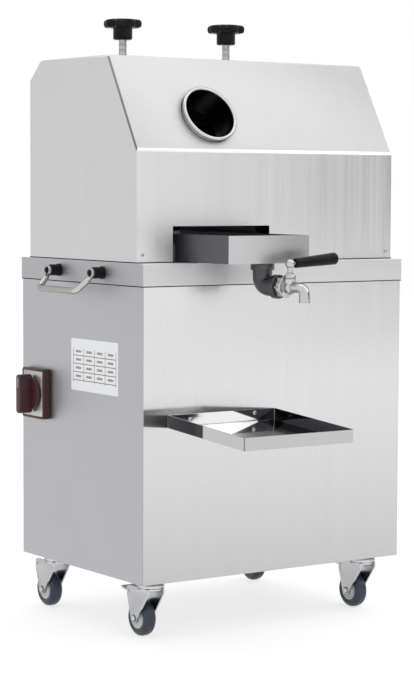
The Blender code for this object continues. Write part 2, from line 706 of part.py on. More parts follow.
def cheek_loops():
    """The outline of a cheek with its block slot and its two shaft bores, centred on the head."""
    slot = BLOCK_HALF_WIDTH + GAP
    floor = TOP_Z - SEAT_Z - BLOCK_HALF_HEIGHT - GAP
    neck = slot + CHEEK_WALL
    bulge = LOWER_HALF_SPACING + SHAFT_RADIUS + CHEEK_WALL
    right = [(CHEEK_FOOT_HALF, 0), (CHEEK_FOOT_HALF, CHEEK_FOOT_HEIGHT), (bulge, LOWER_AXIS_HEIGHT / 2),
             (bulge, LOWER_AXIS_HEIGHT + CHEEK_WALL / 2), (neck, floor + CHEEK_WALL), (neck, CHEEK_HEIGHT)]
    slot_edge = [(slot, CHEEK_HEIGHT), (slot, floor), (-slot, floor), (-slot, CHEEK_HEIGHT)]
    left = [(-y, z) for y, z in reversed(right)]
    outer = []
    soft = rounded(right + slot_edge + left, CHEEK_CORNER, 2)
    per_corner = len(soft) // (len(right) + 4 + len(left))
    sharp = {0, 5, 6, 7, 8, 9, 10, 15}
    for i, point in enumerate(right + slot_edge + left):
        outer += [point] if i in sharp else soft[i * per_corner:(i + 1) * per_corner]
    bores = [circle(SHAFT_RADIUS + 2 * GAP, 16, (side * LOWER_HALF_SPACING, LOWER_AXIS_HEIGHT))
             for side in (-1, 1)]
    return [outer] + bores


def cheeks():
    """The two thick side frames of the head, with their caps, blocks, tie rods and turner."""
    for x, side in zip(CHEEK_X, ("left", "right")):
        add_part("cheek_" + side, outline_curve("cheek", cheek_loops(), CHEEK_THICKNESS), CAST_STEEL,
                 (x, HEAD_Y, SEAT_Z), ALONG_X)
        cap_loops = [rounded(rectangle(CHEEK_THICKNESS, 2 * (BLOCK_HALF_WIDTH + CHEEK_WALL)), 5 * MM),
                     circle(SCREW_RADIUS + GAP, 16)]
        add_part("screw_cap_" + side, outline_curve("screw_cap", cap_loops, CAP_THICKNESS), CAST_STEEL,
                 (x, HEAD_Y, SEAT_Z + CHEEK_HEIGHT + GAP + CAP_THICKNESS / 2))
        bearing_block(x, side)
    for offset, name in ((-TIE_ROD_OFFSET, "tie_rod_front"), (TIE_ROD_OFFSET, "tie_rod_back")):
        data = cylinder_mesh(name, TIE_ROD_RADIUS, 2 * (CHEEK_INNER_HALF - GAP), 16)
        add_part(name, data, POLISHED_STEEL, (HEAD_X, HEAD_Y + offset, SEAT_Z + TIE_ROD_HEIGHT), ALONG_X)
    turner_bar()


def bearing_block(x, side):
    """A sliding block that carries one end of the top roller and takes the tip of its pressure screw."""
    loops = [rounded(rectangle(2 * BLOCK_HALF_WIDTH, 2 * BLOCK_HALF_HEIGHT), 3 * MM, 1),
             circle(SHAFT_RADIUS + 2 * GAP, 16)]
    data = outline_mesh("top_block_" + side, loops, CHEEK_THICKNESS - 2 * GAP)
    item = add_part("top_block_" + side, data, CAST_STEEL, (x, HEAD_Y, TOP_Z), ALONG_X)
    depth = 2 * SCREW_SOCKET_DEPTH
    socket = cylinder_mesh("screw_socket", SCREW_RADIUS + GAP, depth, 16)
    cut(item, add_tool("screw_socket_" + side, socket, (x, HEAD_Y, TOP_Z + BLOCK_HALF_HEIGHT)))


def turner_bar():
    """The bar between the lower rollers that turns the cane from the first nip to the second."""
    reach = ROLLER_RADIUS + NIP_GAP
    top = [(y, TOP_RISE - math.sqrt(reach ** 2 - y ** 2))
           for y in (TURNER_TOP_HALF * k / 3 for k in (3, 2, 1, 0, -1, -2, -3))]
    edge = top[0][1] - 4 * MM
    half = TURNER_STEM_HALF
    foot = top[3][1] - TURNER_DEPTH
    loop = top + [(-TURNER_TOP_HALF, edge), (-half, edge - 7 * MM), (-half, foot), (half, foot),
                  (half, edge - 7 * MM), (TURNER_TOP_HALF, edge)]
    add_part("turner_bar", outline_curve("turner_bar", [loop], 2 * (CHEEK_INNER_HALF - GAP)), CAST_STEEL,
             (HEAD_X, HEAD_Y, LOWER_Z), ALONG_X)


def fluted_outline():
    """The section of a roller: sharp V flutes round its rim."""
    turn = 2 * math.pi / FLUTE_COUNT
    flute = ((-0.22, ROLLER_RADIUS), (0.22, ROLLER_RADIUS), (0.5, ROLLER_RADIUS - FLUTE_DEPTH))
    loop = []
    for i in range(FLUTE_COUNT):
        for share, radius in flute:
            angle = (i + share) * turn
            loop.append((radius * math.cos(angle), radius * math.sin(angle)))
    return loop


def roller(name, y, z, right_end):
    """A fluted press roller with its shaft through both cheeks."""
    data = outline_mesh(name, [fluted_outline()], ROLLER_LENGTH)
    item = add_part(name, data, POLISHED_STEEL, (HEAD_X, y, z), ALONG_X)
    left_end = CHEEK_X[0] - CHEEK_THICKNESS / 2 - SHAFT_END
    length = right_end - left_end
    shaft = cylinder_mesh(name + "_shaft", SHAFT_RADIUS, length, 16)
    fuse(item, add_tool(name + "_shaft", shaft, (left_end + length / 2, y, z), ALONG_X))


def rollers():
    """The three rollers; the front one reaches through the gearbox that drives it."""
    past_gear = GEAR_X + GEAR_WIDTH / 2 + GAP
    roller("top_roller", HEAD_Y, TOP_Z, past_gear)
    roller("rear_roller", HEAD_Y + LOWER_HALF_SPACING, LOWER_Z, past_gear)
    roller("front_roller", HEAD_Y - LOWER_HALF_SPACING, LOWER_Z, GEARBOX_X + GEARBOX_WIDTH / 2 + SHAFT_END)


def flank_half_angle(radius):
    """Half the angle that an involute tooth fills at a radius."""
    pitch = GEAR_MODULE * GEAR_TEETH / 2
    base = pitch * math.cos(GEAR_PRESSURE_ANGLE)

    def involute(r):
        roll = math.acos(min(1.0, base / r))
        return math.tan(roll) - roll

    at_pitch = math.pi / (2 * GEAR_TEETH) - GEAR_BACKLASH / (4 * pitch)
    return at_pitch + involute(pitch) - involute(max(radius, base))


def gear_outline(phase):
    """A spur gear's outline with one tooth centred on the phase angle."""
    pitch = GEAR_MODULE * GEAR_TEETH / 2
    radii = (pitch - GEAR_DEDENDUM * GEAR_MODULE, pitch + GEAR_ADDENDUM * GEAR_MODULE)
    turn = 2 * math.pi / GEAR_TEETH
    loop = []
    for i in range(GEAR_TEETH):
        centre = phase + i * turn
        loop += [(r, centre - flank_half_angle(r)) for r in radii]
        loop += [(r, centre + flank_half_angle(r)) for r in reversed(radii)]
    return [(r * math.cos(a), r * math.sin(a)) for r, a in loop]


def gears():
    """Equal gears on the three shafts; both lower gears mesh with the top one."""
    turn = 2 * math.pi / GEAR_TEETH
    top_phase = 0.0
    places = [("top_gear", HEAD_Y, TOP_Z, top_phase)]
    for side, name in ((-1, "front_gear"), (1, "rear_gear")):
        toward = math.atan2(-TOP_RISE, side * LOWER_HALF_SPACING)
        phase = 2 * toward + math.pi - top_phase - turn / 2
        places.append((name, HEAD_Y + side * LOWER_HALF_SPACING, LOWER_Z, phase))
    for name, y, z, phase in places:
        loops = [gear_outline(phase), circle(SHAFT_RADIUS + 2 * GAP, 16)]
        add_part(name, outline_curve(name, loops, GEAR_WIDTH), CAST_STEEL, (GEAR_X, y, z), ALONG_X)


def pressure_screws():
    """The screws that press the top roller down, each with a star knob over the hood."""
    tip = TOP_Z + BLOCK_HALF_HEIGHT - SCREW_SOCKET_DEPTH + GAP
    knob_low = HOOD_TOP_Z + KNOB_CLEARANCE
    end = knob_low + KNOB_SOCKET_DEPTH - GAP
    for x, side in zip(CHEEK_X, ("left", "right")):
        data = cylinder_mesh("pressure_screw", SCREW_RADIUS, end - tip, 14)
        add_part("pressure_screw_" + side, data, CHROME, (x, HEAD_Y, (tip + end) / 2))
        star_knob("star_knob_" + side, (x, HEAD_Y, knob_low))


def star_knob(name, origin):
    """A moulded knob: an eight-lobed star over a round hub, with a blind socket for the screw."""
    points = KNOB_LOBES * 4
    loop = []
    for i in range(points):
        angle = 2 * math.pi * i / points
        wave = (1 - math.cos(KNOB_LOBES * angle)) / 2
        radius = KNOB_STAR_RADIUS - KNOB_LOBE_DEPTH * wave ** 1.6
        loop.append((radius * math.cos(angle), radius * math.sin(angle)))
    data = outline_mesh(name, [loop], KNOB_STAR_THICKNESS)
    form = bmesh.new()
    form.from_mesh(data)
    rims = [e for e in form.edges if len(e.link_faces) == 2 and e.calc_face_angle() > math.radians(80)
            and abs(e.verts[0].co.z - e.verts[1].co.z) < WELD]
    bmesh.ops.bevel(form, geom=rims, offset=1.6 * MM, segments=1, profile=0.5, affect='EDGES')
    form.to_mesh(data)
    form.free()
    x, y, z = origin
    item = add_part(name, data, BLACK_PLASTIC, (x, y, z + KNOB_HUB_HEIGHT + KNOB_STAR_THICKNESS / 2))
    low_radius = KNOB_HUB_RADIUS - 1.5 * MM
    profile = [(0, KNOB_HUB_HEIGHT + 3 * MM), (KNOB_HUB_RADIUS, KNOB_HUB_HEIGHT + 3 * MM),
               (KNOB_HUB_RADIUS, 1.5 * MM), (low_radius, 0), (0, 0)]
    fuse(item, turned(name + "_hub", profile, None, origin, steps=16, tool=True))
    socket = cylinder_mesh(name + "_socket", SCREW_RADIUS + GAP, 2 * KNOB_SOCKET_DEPTH, 14)
    cut(item, add_tool(name + "_socket", socket, origin))


def gearbox():
    """The worm gearbox: a cast housing round the front roller's shaft, with the worm's barrel behind it."""
    centre = (GEARBOX_X, HEAD_Y - LOWER_HALF_SPACING, LOWER_Z)
    body_width = GEARBOX_WIDTH - 2 * GEARBOX_HUB_LENGTH
    loops = [rounded(rectangle(2 * GEARBOX_HALF, 2 * GEARBOX_HALF), GEARBOX_CORNER)]
    item = add_part("gearbox", outline_mesh("gearbox", loops, body_width), DARK_PAINT, centre, ALONG_X)
    hub = cylinder_mesh("gearbox_hub", GEARBOX_HUB_RADIUS, GEARBOX_WIDTH, 18)
    fuse(item, add_tool("gearbox_hub", hub, centre, ALONG_X))
    barrel = cylinder_mesh("worm_barrel", WORM_HOUSING_RADIUS, 2 * GEARBOX_HALF, 18)
    fuse(item, add_tool("worm_barrel", barrel, (GEARBOX_X, MOTOR_Y, LOWER_Z)))
    bore = cylinder_mesh("gearbox_bore", SHAFT_RADIUS + 2 * GAP, GEARBOX_WIDTH + 20 * MM, 16)
    cut(item, add_tool("gearbox_bore", bore, centre, ALONG_X))


def gearbox_pedestal():
    """The channel that holds the gearbox up from the deck."""
    width = GEARBOX_WIDTH - 2 * GEARBOX_HUB_LENGTH
    height = LOWER_Z - GEARBOX_HALF - GAP - SEAT_Z
    half, inner = width / 2, width / 2 - PEDESTAL_SHEET
    loop = [(-half, 0), (-inner, 0), (-inner, height - PEDESTAL_SHEET), (inner, height - PEDESTAL_SHEET),
            (inner, 0), (half, 0), (half, height), (-half, height)]
    front = HEAD_Y - LOWER_HALF_SPACING - GEARBOX_HALF + GEARBOX_CORNER
    depth = MOTOR_Y - MOTOR_FLANGE_RADIUS - MOTOR_HOLE_CLEARANCE - 2 * MM - front
    depth = min(depth, PEDESTAL_DEPTH)
    add_part("gearbox_pedestal", outline_curve("gearbox_pedestal", [loop], depth), DARK_PAINT,
             (GEARBOX_X, front + depth / 2, SEAT_Z), ALONG_Y)


def motor():
    """The motor hanging under the worm's barrel: flange, finned frame and fan cowl."""
    turn = 2 * math.pi / MOTOR_FINS
    tip = MOTOR_RADIUS + MOTOR_FIN_HEIGHT
    fin = ((-0.5, MOTOR_RADIUS), (-0.16, MOTOR_RADIUS), (-0.10, tip), (0.10, tip), (0.16, MOTOR_RADIUS))
    loop = []
    for i in range(MOTOR_FINS):
        for share, radius in fin:
            angle = (i + share) * turn
            loop.append((radius * math.cos(angle), radius * math.sin(angle)))
    frame_top = MOTOR_TOP_Z - MOTOR_FLANGE_THICKNESS
    item = add_part("motor", outline_mesh("motor", [loop], MOTOR_LENGTH), DARK_PAINT,
                    (GEARBOX_X, MOTOR_Y, frame_top - MOTOR_LENGTH / 2))
    flange = cylinder_mesh("motor_flange", MOTOR_FLANGE_RADIUS, MOTOR_FLANGE_THICKNESS + 2 * MM, 24)
    fuse(item, add_tool("motor_flange", flange,
                        (GEARBOX_X, MOTOR_Y, MOTOR_TOP_Z - (MOTOR_FLANGE_THICKNESS + 2 * MM) / 2)))
    low = frame_top - MOTOR_LENGTH
    outer = tip + COWL_CLEARANCE
    profile = [(0, COWL_OVERLAP), (outer, COWL_OVERLAP), (outer, COWL_CORNER - COWL_LENGTH),
               (outer - COWL_CORNER, -COWL_LENGTH), (0, -COWL_LENGTH)]
    fuse(item, turned("motor_cowl", profile, None, (GEARBOX_X, MOTOR_Y, low), steps=20, tool=True))
    box_height = 60 * MM
    terminal = box_mesh("terminal_box", (62 * MM, 30 * MM, box_height))
    fuse(item, add_tool("terminal_box", terminal,
                        (GEARBOX_X, MOTOR_Y - MOTOR_RADIUS - 14 * MM, low + MOTOR_LENGTH - 90 * MM)))


def discharge_chute():
    """The trough that leads the pressed cane out through the hood's back, with an ear along each cheek."""
    width = 2 * (CHEEK_INNER_HALF - GAP)
    start = HEAD_Y + CHUTE_START
    end = BACK + CHUTE_OVERHANG
    run = end - start
    form = bmesh.new()
    bmesh.ops.create_cube(form, size=1.0)
    bmesh.ops.scale(form, vec=Vector((width, run, CHUTE_WALL_HEIGHT)), verts=form.verts)
    opened = [f for f in form.faces if f.normal.z > 0.5 or abs(f.normal.y) > 0.5]
    bmesh.ops.delete(form, geom=opened, context='FACES')
    for v in form.verts:
        far = (v.co.y + run / 2) / run
        v.co.z -= CHUTE_DROP * far
        if v.co.z + CHUTE_DROP * far > 0:
            v.co.z -= 0.35 * CHUTE_WALL_HEIGHT * far
    wall_ends = [e for e in form.edges if e.is_boundary and all(v.co.y < -0.49 * run for v in e.verts)]
    wall_ends = [e for e in wall_ends if abs(e.verts[0].co.x - e.verts[1].co.x) < WELD]
    ears = bmesh.ops.extrude_edge_only(form, edges=wall_ends)["geom"]
    ears = [v for v in ears if isinstance(v, bmesh.types.BMVert)]
    for v in ears:
        v.co.y -= CHUTE_EAR
        if v.co.z < 0:
            v.co.z += CHUTE_EAR_RISE
    middle = SEAT_Z + CHUTE_HEIGHT + CHUTE_WALL_HEIGHT / 2
    item = add_part("discharge_chute", mesh_of("discharge_chute", form), BRUSHED_STEEL,
                    (HEAD_X, (start + end) / 2, middle))
    thicken(item, CHUTE_SHEET)


def juice_tray():
    """The long tray that slides out through the mouth, with the outlet hole in its floor."""
    length = JUICE_TRAY_REACH + JUICE_TRAY_INSIDE
    rim = SEAT_Z + JUICE_TRAY_HEIGHT
    item = open_tray("juice_tray", (JUICE_TRAY_WIDTH, length, JUICE_TRAY_HEIGHT), JUICE_TRAY_SHEET,
                     BRUSHED_STEEL, (OUTLET_X, FRONT - JUICE_TRAY_REACH + length / 2, rim), corner=1.5 * MM)
    hole = cylinder_mesh("outlet_hole", ELBOW_BORE_RADIUS, 12 * MM, 16)
    cut(item, add_tool("outlet_hole", hole, (OUTLET_X, OUTLET_Y, SEAT_Z)))


def tap_direction():
    """The level direction that the tap points in, turned a little to the right of straight ahead."""
    return Vector((math.sin(TAP_TURN), -math.cos(TAP_TURN), 0))


def along_tap():
    """A turn that points an object's own z along the tap, its own y up."""
    outward = tap_direction()
    up = Vector((0, 0, 1))
    return Matrix((up.cross(outward), up, outward)).transposed()


def outlet_elbow():
    """The cast elbow under the tray: a collar at each end and a quarter bend between, bored through."""
    heading = tap_direction()
    top = Vector((OUTLET_X, OUTLET_Y, DECK_Z))
    corner = top - Vector((0, 0, ELBOW_DROP))
    bend = min(ELBOW_DROP, ELBOW_REACH) - ELBOW_COLLAR_LENGTH * 0.6
    centre = corner + heading * bend + Vector((0, 0, bend))
    steps = 5
    arc = [centre + (-heading) * bend * math.cos(t) - Vector((0, 0, bend)) * math.sin(t)
           for t in (math.pi / 2 * k / steps for k in range(steps + 1))]
    mouth = corner + heading * ELBOW_REACH
    inset = 1 * MM
    path = [top - Vector((0, 0, inset))] + arc + [mouth - heading * inset]
    data = solid_mesh("outlet_elbow", rod_curve("outlet_elbow", path, ELBOW_BODY_RADIUS, 3))
    item = add_part("outlet_elbow", data, CAST_STEEL)
    for end, stand, name in ((top - Vector((0, 0, ELBOW_COLLAR_LENGTH / 2)), UPRIGHT, "upper_collar"),
                             (mouth - heading * ELBOW_COLLAR_LENGTH / 2, along_tap(), "mouth_collar")):
        collar = cylinder_mesh(name, ELBOW_COLLAR_RADIUS, ELBOW_COLLAR_LENGTH, 16)
        fuse(item, add_tool(name, collar, end, stand))
    bore_path = [top + Vector((0, 0, 5 * MM))] + arc + [mouth + heading * 5 * MM]
    bore = solid_mesh("elbow_bore", rod_curve("elbow_bore", bore_path, ELBOW_BORE_RADIUS, 2))
    cut(item, add_tool("elbow_bore", bore))


def tap():
    """The tap: nut, flange, body, bonnet and down-turned spout in one casting, with a lever on its stem."""
    heading = tap_direction()
    axis = Vector((OUTLET_X, OUTLET_Y, TAP_Z))
    stand = along_tap()
    start = ELBOW_REACH + GAP
    nut_loops = [circle(TAP_NUT_RADIUS, 6)]
    nut = outline_mesh("tap_body", nut_loops, TAP_NUT_LENGTH)
    item = add_part("tap_body", nut, CHROME, axis + heading * (start + TAP_NUT_LENGTH / 2), stand)
    shank = ELBOW_BORE_RADIUS - 2 * GAP
    nut_end = start + TAP_NUT_LENGTH
    stem = TAP_STEM_DISTANCE
    profile = [(0, stem + 6 * MM), (TAP_BODY_RADIUS * 0.8, stem + 5 * MM), (TAP_BODY_RADIUS, stem),
               (TAP_BODY_RADIUS * 0.85, nut_end + TAP_FLANGE_THICKNESS + 1 * MM),
               (TAP_FLANGE_RADIUS, nut_end + TAP_FLANGE_THICKNESS), (TAP_FLANGE_RADIUS, nut_end),
               (shank, nut_end), (shank, start - 6 * MM), (0, start - 6 * MM)]
    fuse(item, turned("tap_barrel", profile, None, axis, stand, steps=16, tool=True))
    reach = TAP_TIP_DISTANCE - stem
    bend = min(reach, TAP_TIP_DROP) * 0.92
    turn_centre = axis + heading * (TAP_TIP_DISTANCE - bend) - Vector((0, 0, bend))
    steps = 5
    arc = [turn_centre + heading * bend * math.sin(t) + Vector((0, 0, bend)) * math.cos(t)
           for t in (math.pi / 2 * k / steps for k in range(steps + 1))]
    tip = axis + heading * TAP_TIP_DISTANCE - Vector((0, 0, TAP_TIP_DROP))
    path = [axis + heading * stem] + arc + [tip]
    spout = solid_mesh("spout", rod_curve("spout", path, SPOUT_RADIUS, 1))
    fuse(item, add_tool("spout", spout))
    post = axis + heading * stem
    neck = BONNET_RADIUS * 0.8
    bonnet = [(0, BONNET_HEIGHT), (BONNET_RADIUS * 0.62, BONNET_HEIGHT), (neck, BONNET_HEIGHT - 2 * MM),
              (BONNET_RADIUS, BONNET_HEIGHT - 3 * MM), (BONNET_RADIUS, 6 * MM), (neck, 2 * MM), (0, 2 * MM)]
    fuse(item, turned("bonnet", bonnet, None, post, steps=14, tool=True))
    recess = cylinder_mesh("spout_bore", SPOUT_BORE_RADIUS, 2 * SPOUT_BORE_DEPTH, 12)
    cut(item, add_tool("spout_bore", recess, tip))
    tap_lever(post)


def tap_lever(post):
    """The lever: a necked ball on the stem with a rod into a tapered grip, pointing right when shut."""
    low = BONNET_HEIGHT + GAP
    ball = LEVER_HEIGHT
    neck = 3.6 * MM
    radius = LEVER_BALL_RADIUS
    sweep = [(radius * math.sin(t), ball + radius * math.cos(t))
             for t in (math.radians(a) for a in LEVER_BALL_ANGLES)]
    foot = 5 * MM
    profile = sweep + [(neck, ball - 7 * MM), (neck, low + 3 * MM), (foot, low + 2 * MM), (foot, low),
                       (0, low)]
    item = turned("tap_lever", profile, CHROME, post, steps=16)
    hub = post + Vector((0, 0, ball))
    aim = Vector((math.cos(LEVER_RISE), 0, math.sin(LEVER_RISE)))
    up = Vector((0, 0, 1))
    side = up.cross(aim).normalized()
    stand = Matrix((side, aim.cross(side), aim)).transposed()
    rod_length = GRIP_LENGTH * 0.6
    rod = cylinder_mesh("lever_rod", LEVER_ROD_RADIUS, rod_length, 12)
    fuse(item, add_tool("lever_rod", rod, hub + aim * rod_length / 2, stand))
    inside = LEVER_ROD_RADIUS + GAP
    deep = rod_length + GAP
    end = GRIP_START + GRIP_LENGTH
    edge = GRIP_TIP_RADIUS
    grip = [(0, end), (edge - 3 * MM, end), (edge - 0.8 * MM, end - 1 * MM), (edge, end - 3.5 * MM),
            (GRIP_ROOT_RADIUS, GRIP_START + 0.8 * MM), (GRIP_ROOT_RADIUS - 0.8 * MM, GRIP_START),
            (inside, GRIP_START), (inside, deep), (0, deep)]
    turned("lever_grip", grip, BLACK_PLASTIC, hub, stand, steps=18)


def cup_tray():
    """The shallow pan that cups stand in, bolted to the front panel and drooping a little to the front."""
    length = CUP_TRAY_REACH - GAP
    middle = (LEFT + CUP_TRAY_FROM_LEFT + CUP_TRAY_WIDTH / 2, FRONT - GAP - length / 2,
              BASE_Z + CUP_TRAY_RIM_HEIGHT)
    open_tray("cup_tray", (CUP_TRAY_WIDTH, length, CUP_TRAY_DEPTH), CUP_TRAY_SHEET, POLISHED_STEEL, middle,
              3 * MM, CUP_TRAY_DROOP)


def side_handles():
    """A fixed bail on two ribbed posts on each side of the deck's skirt."""
    for side, name in ((-1, "left"), (1, "right")):
        wall = side * (CABINET_WIDTH / 2 + SKIRT_OVERHANG + GAP)
        middle_y = FRONT + HANDLE_FROM_FRONT
        for end, where in ((-1, "front"), (1, "back")):
            y = middle_y + end * HANDLE_SPACING / 2
            handle_post("handle_post_%s_%s" % (name, where), side, wall, y)
        bail("handle_bail_" + name, side, wall, middle_y)


def handle_post(name, side, wall, y):
    """A ribbed spacer with a flange at the wall, and the screw whose round head holds the bail's eye."""
    pitch = (POST_LENGTH - POST_FLANGE_THICKNESS) / POST_RIBS
    shank = EYE_BORE_RADIUS - GAP
    head_low = POST_LENGTH + EYE_THICKNESS + 2 * GAP
    head_top = head_low + POST_SCREW_HEAD_HEIGHT
    profile = [(0, head_top), (0.6 * POST_SCREW_HEAD_RADIUS, head_top - 0.2 * POST_SCREW_HEAD_HEIGHT),
               (POST_SCREW_HEAD_RADIUS, head_low), (shank, head_low), (shank, POST_LENGTH)]
    for k in reversed(range(POST_RIBS)):
        low = POST_FLANGE_THICKNESS + k * pitch
        profile += [(POST_RADIUS - POST_RIB_DEPTH, low + pitch), (POST_RADIUS, low + pitch / 2)]
    profile += [(POST_RADIUS - POST_RIB_DEPTH, POST_FLANGE_THICKNESS),
                (POST_FLANGE_RADIUS, POST_FLANGE_THICKNESS / 2), (POST_FLANGE_RADIUS, 0), (0, 0)]
    outward = Vector((side, 0, 0))
    up = Vector((0, 0, 1))
    stand = Matrix((up.cross(outward), up, outward)).transposed()
    turned(name, profile, BLACK_PLASTIC, (wall, y, SKIRT_MID_Z), stand, steps=12)


def bail(name, side, wall, middle_y):
    """The bent chrome rod that is gripped; its ends are flattened into eyes."""
    eye_x = side * (POST_LENGTH + GAP + EYE_THICKNESS / 2)
    half = HANDLE_SPACING / 2
    start = Vector((eye_x, -half, -0.5 * EYE_RADIUS))
    neck = Vector((eye_x, -half, -EYE_RADIUS))
    low = Vector((eye_x + side * BAIL_OUT, BAIL_INSET - half, -BAIL_DROP))
    arm = (low - neck).normalized()
    full = neck + arm * BAIL_NECK_LENGTH
    bend_from = low - arm * BAIL_BEND_RADIUS
    bend_to = low + Vector((0, BAIL_BEND_RADIUS, 0))
    bend = [bend_from.lerp(low, t).lerp(low.lerp(bend_to, t), t) for t in (0, 0.5, 1)]
    half_path = [start, neck, full] + bend
    half_shares = [BAIL_NECK_SHARE, BAIL_NECK_SHARE] + [1.0] * (1 + len(bend))
    path = half_path + [Vector((p.x, -p.y, p.z)) for p in reversed(half_path)]
    shares = half_shares + half_shares[::-1]
    data = solid_mesh(name, rod_curve(name, path, BAIL_ROD_RADIUS, 2, shares))
    item = add_part(name, data, CHROME, (wall, middle_y, SKIRT_MID_Z))
    for end, where in ((-1, "front"), (1, "back")):
        centre = (wall + eye_x, middle_y + end * half, SKIRT_MID_Z)
        eye = cylinder_mesh(name + "_eye", EYE_RADIUS, EYE_THICKNESS, 14)
        fuse(item, add_tool(name + "_eye_" + where, eye, centre, ALONG_X))
        bore = cylinder_mesh(name + "_bore", EYE_BORE_RADIUS, 2 * EYE_THICKNESS, 12)
        cut(item, add_tool(name + "_bore_" + where, bore, centre, ALONG_X))


def rotary_switch():
    """The cam switch on the left side: a raised bezel and a bar knob on a round base."""
    y = FRONT + SWITCH_FROM_FRONT
    z = BASE_Z + SWITCH_HEIGHT
    wall = LEFT - GAP
    loops = [rounded(rectangle(BEZEL_WIDTH, BEZEL_HEIGHT), BEZEL_CORNER)]
    data = outline_mesh("switch_bezel", loops, BEZEL_THICKNESS)
    add_part("switch_bezel", data, BROWN_PLASTIC, (wall - BEZEL_THICKNESS / 2, y, z), ALONG_X)
    face = wall - BEZEL_THICKNESS - GAP
    thick = SWITCH_GRIP_OUT - SWITCH_DISC_THICKNESS + 1 * MM
    grip_loop = rounded(rectangle(SWITCH_GRIP_WIDTH, SWITCH_GRIP_LENGTH), SWITCH_GRIP_WIDTH * 0.48, 4)
    grip = outline_mesh("switch_knob", [grip_loop], thick)
    item = add_part("switch_knob", grip, BROWN_PLASTIC, (face - SWITCH_GRIP_OUT + thick / 2, y, z), ALONG_X)
    disc = cylinder_mesh("switch_disc", SWITCH_DISC_RADIUS, SWITCH_DISC_THICKNESS, 32)
    fuse(item, add_tool("switch_disc", disc, (face - SWITCH_DISC_THICKNESS / 2, y, z), ALONG_X))


def fork_leg_loop():
    """The side of a caster's fork: wide under the race, drawn in to the axle."""
    crown = -(RACE_HEIGHT + CASTER_PLATE_SHEET + 3 * GAP)
    low = -(CASTER_HEIGHT - WHEEL_RADIUS)
    trail = CASTER_TRAIL
    eye = 8 * MM
    pedal = (PEDAL_PIVOT_BACK + 5 * MM, -PEDAL_PIVOT_DROP - 6 * MM)
    return [(-15 * MM, crown), (-15 * MM, crown - 7 * MM), (trail - eye, low),
            (trail - eye * 0.6, low - eye * 0.8), (trail + eye * 0.6, low - eye * 0.8), (trail + eye, low),
            pedal, (pedal[0], crown - 3 * MM), (PEDAL_PIVOT_BACK, crown)]


def caster(tag, x, y, braked):
    """One swivel caster: top plate with race, fork with axle, wheel, and a brake pedal at the front."""
    top = BASE_Z - GAP
    plate = rounded(rectangle(CASTER_PLATE, CASTER_PLATE), 6 * MM, 1)
    data = outline_mesh("caster_plate_" + tag, [plate], CASTER_PLATE_SHEET)
    item = add_part("caster_plate_" + tag, data, CHROME, (x, y, top - CASTER_PLATE_SHEET / 2))
    race_top = CASTER_PLATE_SHEET - 0.5 * MM
    race_low = CASTER_PLATE_SHEET + RACE_HEIGHT
    profile = [(0, -race_top), (RACE_RADIUS - 2 * MM, -race_top), (RACE_RADIUS, -race_low + 3 * MM),
               (RACE_RADIUS - 1.5 * MM, -race_low), (0, -race_low)]
    fuse(item, turned("race_" + tag, profile, None, (x, y, top), steps=16, tool=True))
    fork(tag, x, y)
    wheel(tag, x, y)
    if braked:
        brake_pedal(tag, x, y)


def fork(tag, x, y):
    """The swivelling fork: two sheet legs, a crown between them, an axle and the pedal's pin."""
    name = "caster_fork_" + tag
    crown_top = BASE_Z - (RACE_HEIGHT + CASTER_PLATE_SHEET + 3 * GAP)
    leg_x = FORK_INNER_HALF + FORK_SHEET / 2
    legs = []
    for side, where in ((-1, "a"), (1, "b")):
        leg = outline_mesh(name, [fork_leg_loop()], FORK_SHEET)
        legs.append((leg, (x + side * leg_x, y, BASE_Z), where))
    item = add_part(name, legs[0][0], CHROME, legs[0][1], ALONG_X)
    fuse(item, add_tool(name + "_leg", legs[1][0], legs[1][1], ALONG_X))
    crown = cylinder_mesh(name + "_crown", FORK_CROWN_RADIUS, FORK_SHEET, 12)
    fuse(item, add_tool(name + "_crown", crown, (x, y, crown_top - FORK_SHEET / 2)))
    axle_z = WHEEL_RADIUS
    axle_length = 2 * (FORK_INNER_HALF + FORK_SHEET) + 5 * MM
    axle = cylinder_mesh(name + "_axle", AXLE_RADIUS, axle_length, 8)
    fuse(item, add_tool(name + "_axle", axle, (x, y + CASTER_TRAIL, axle_z), ALONG_X))
    pin = cylinder_mesh(name + "_pin", PEDAL_PIN_RADIUS, axle_length - 2 * MM, 6)
    fuse(item, add_tool(name + "_pin", pin, (x, y + PEDAL_PIVOT_BACK, BASE_Z - PEDAL_PIVOT_DROP), ALONG_X))


def wheel(tag, x, y):
    """A caster wheel: a rounded tyre round a dished hub, bored for the axle."""
    half = WHEEL_THICKNESS / 2
    outer = WHEEL_RADIUS
    bore = AXLE_RADIUS + GAP
    right = [(bore, half), (HUB_RADIUS, half - 3 * MM), (HUB_RADIUS + 1.5 * MM, half),
             (outer - 3 * MM, half), (outer, half - 4 * MM)]
    left = [(radius, -height) for radius, height in reversed(right)]
    turned("caster_wheel_" + tag, right + left, BLUE_RUBBER, (x, y + CASTER_TRAIL, WHEEL_RADIUS), ALONG_X,
           steps=16, closed=True)


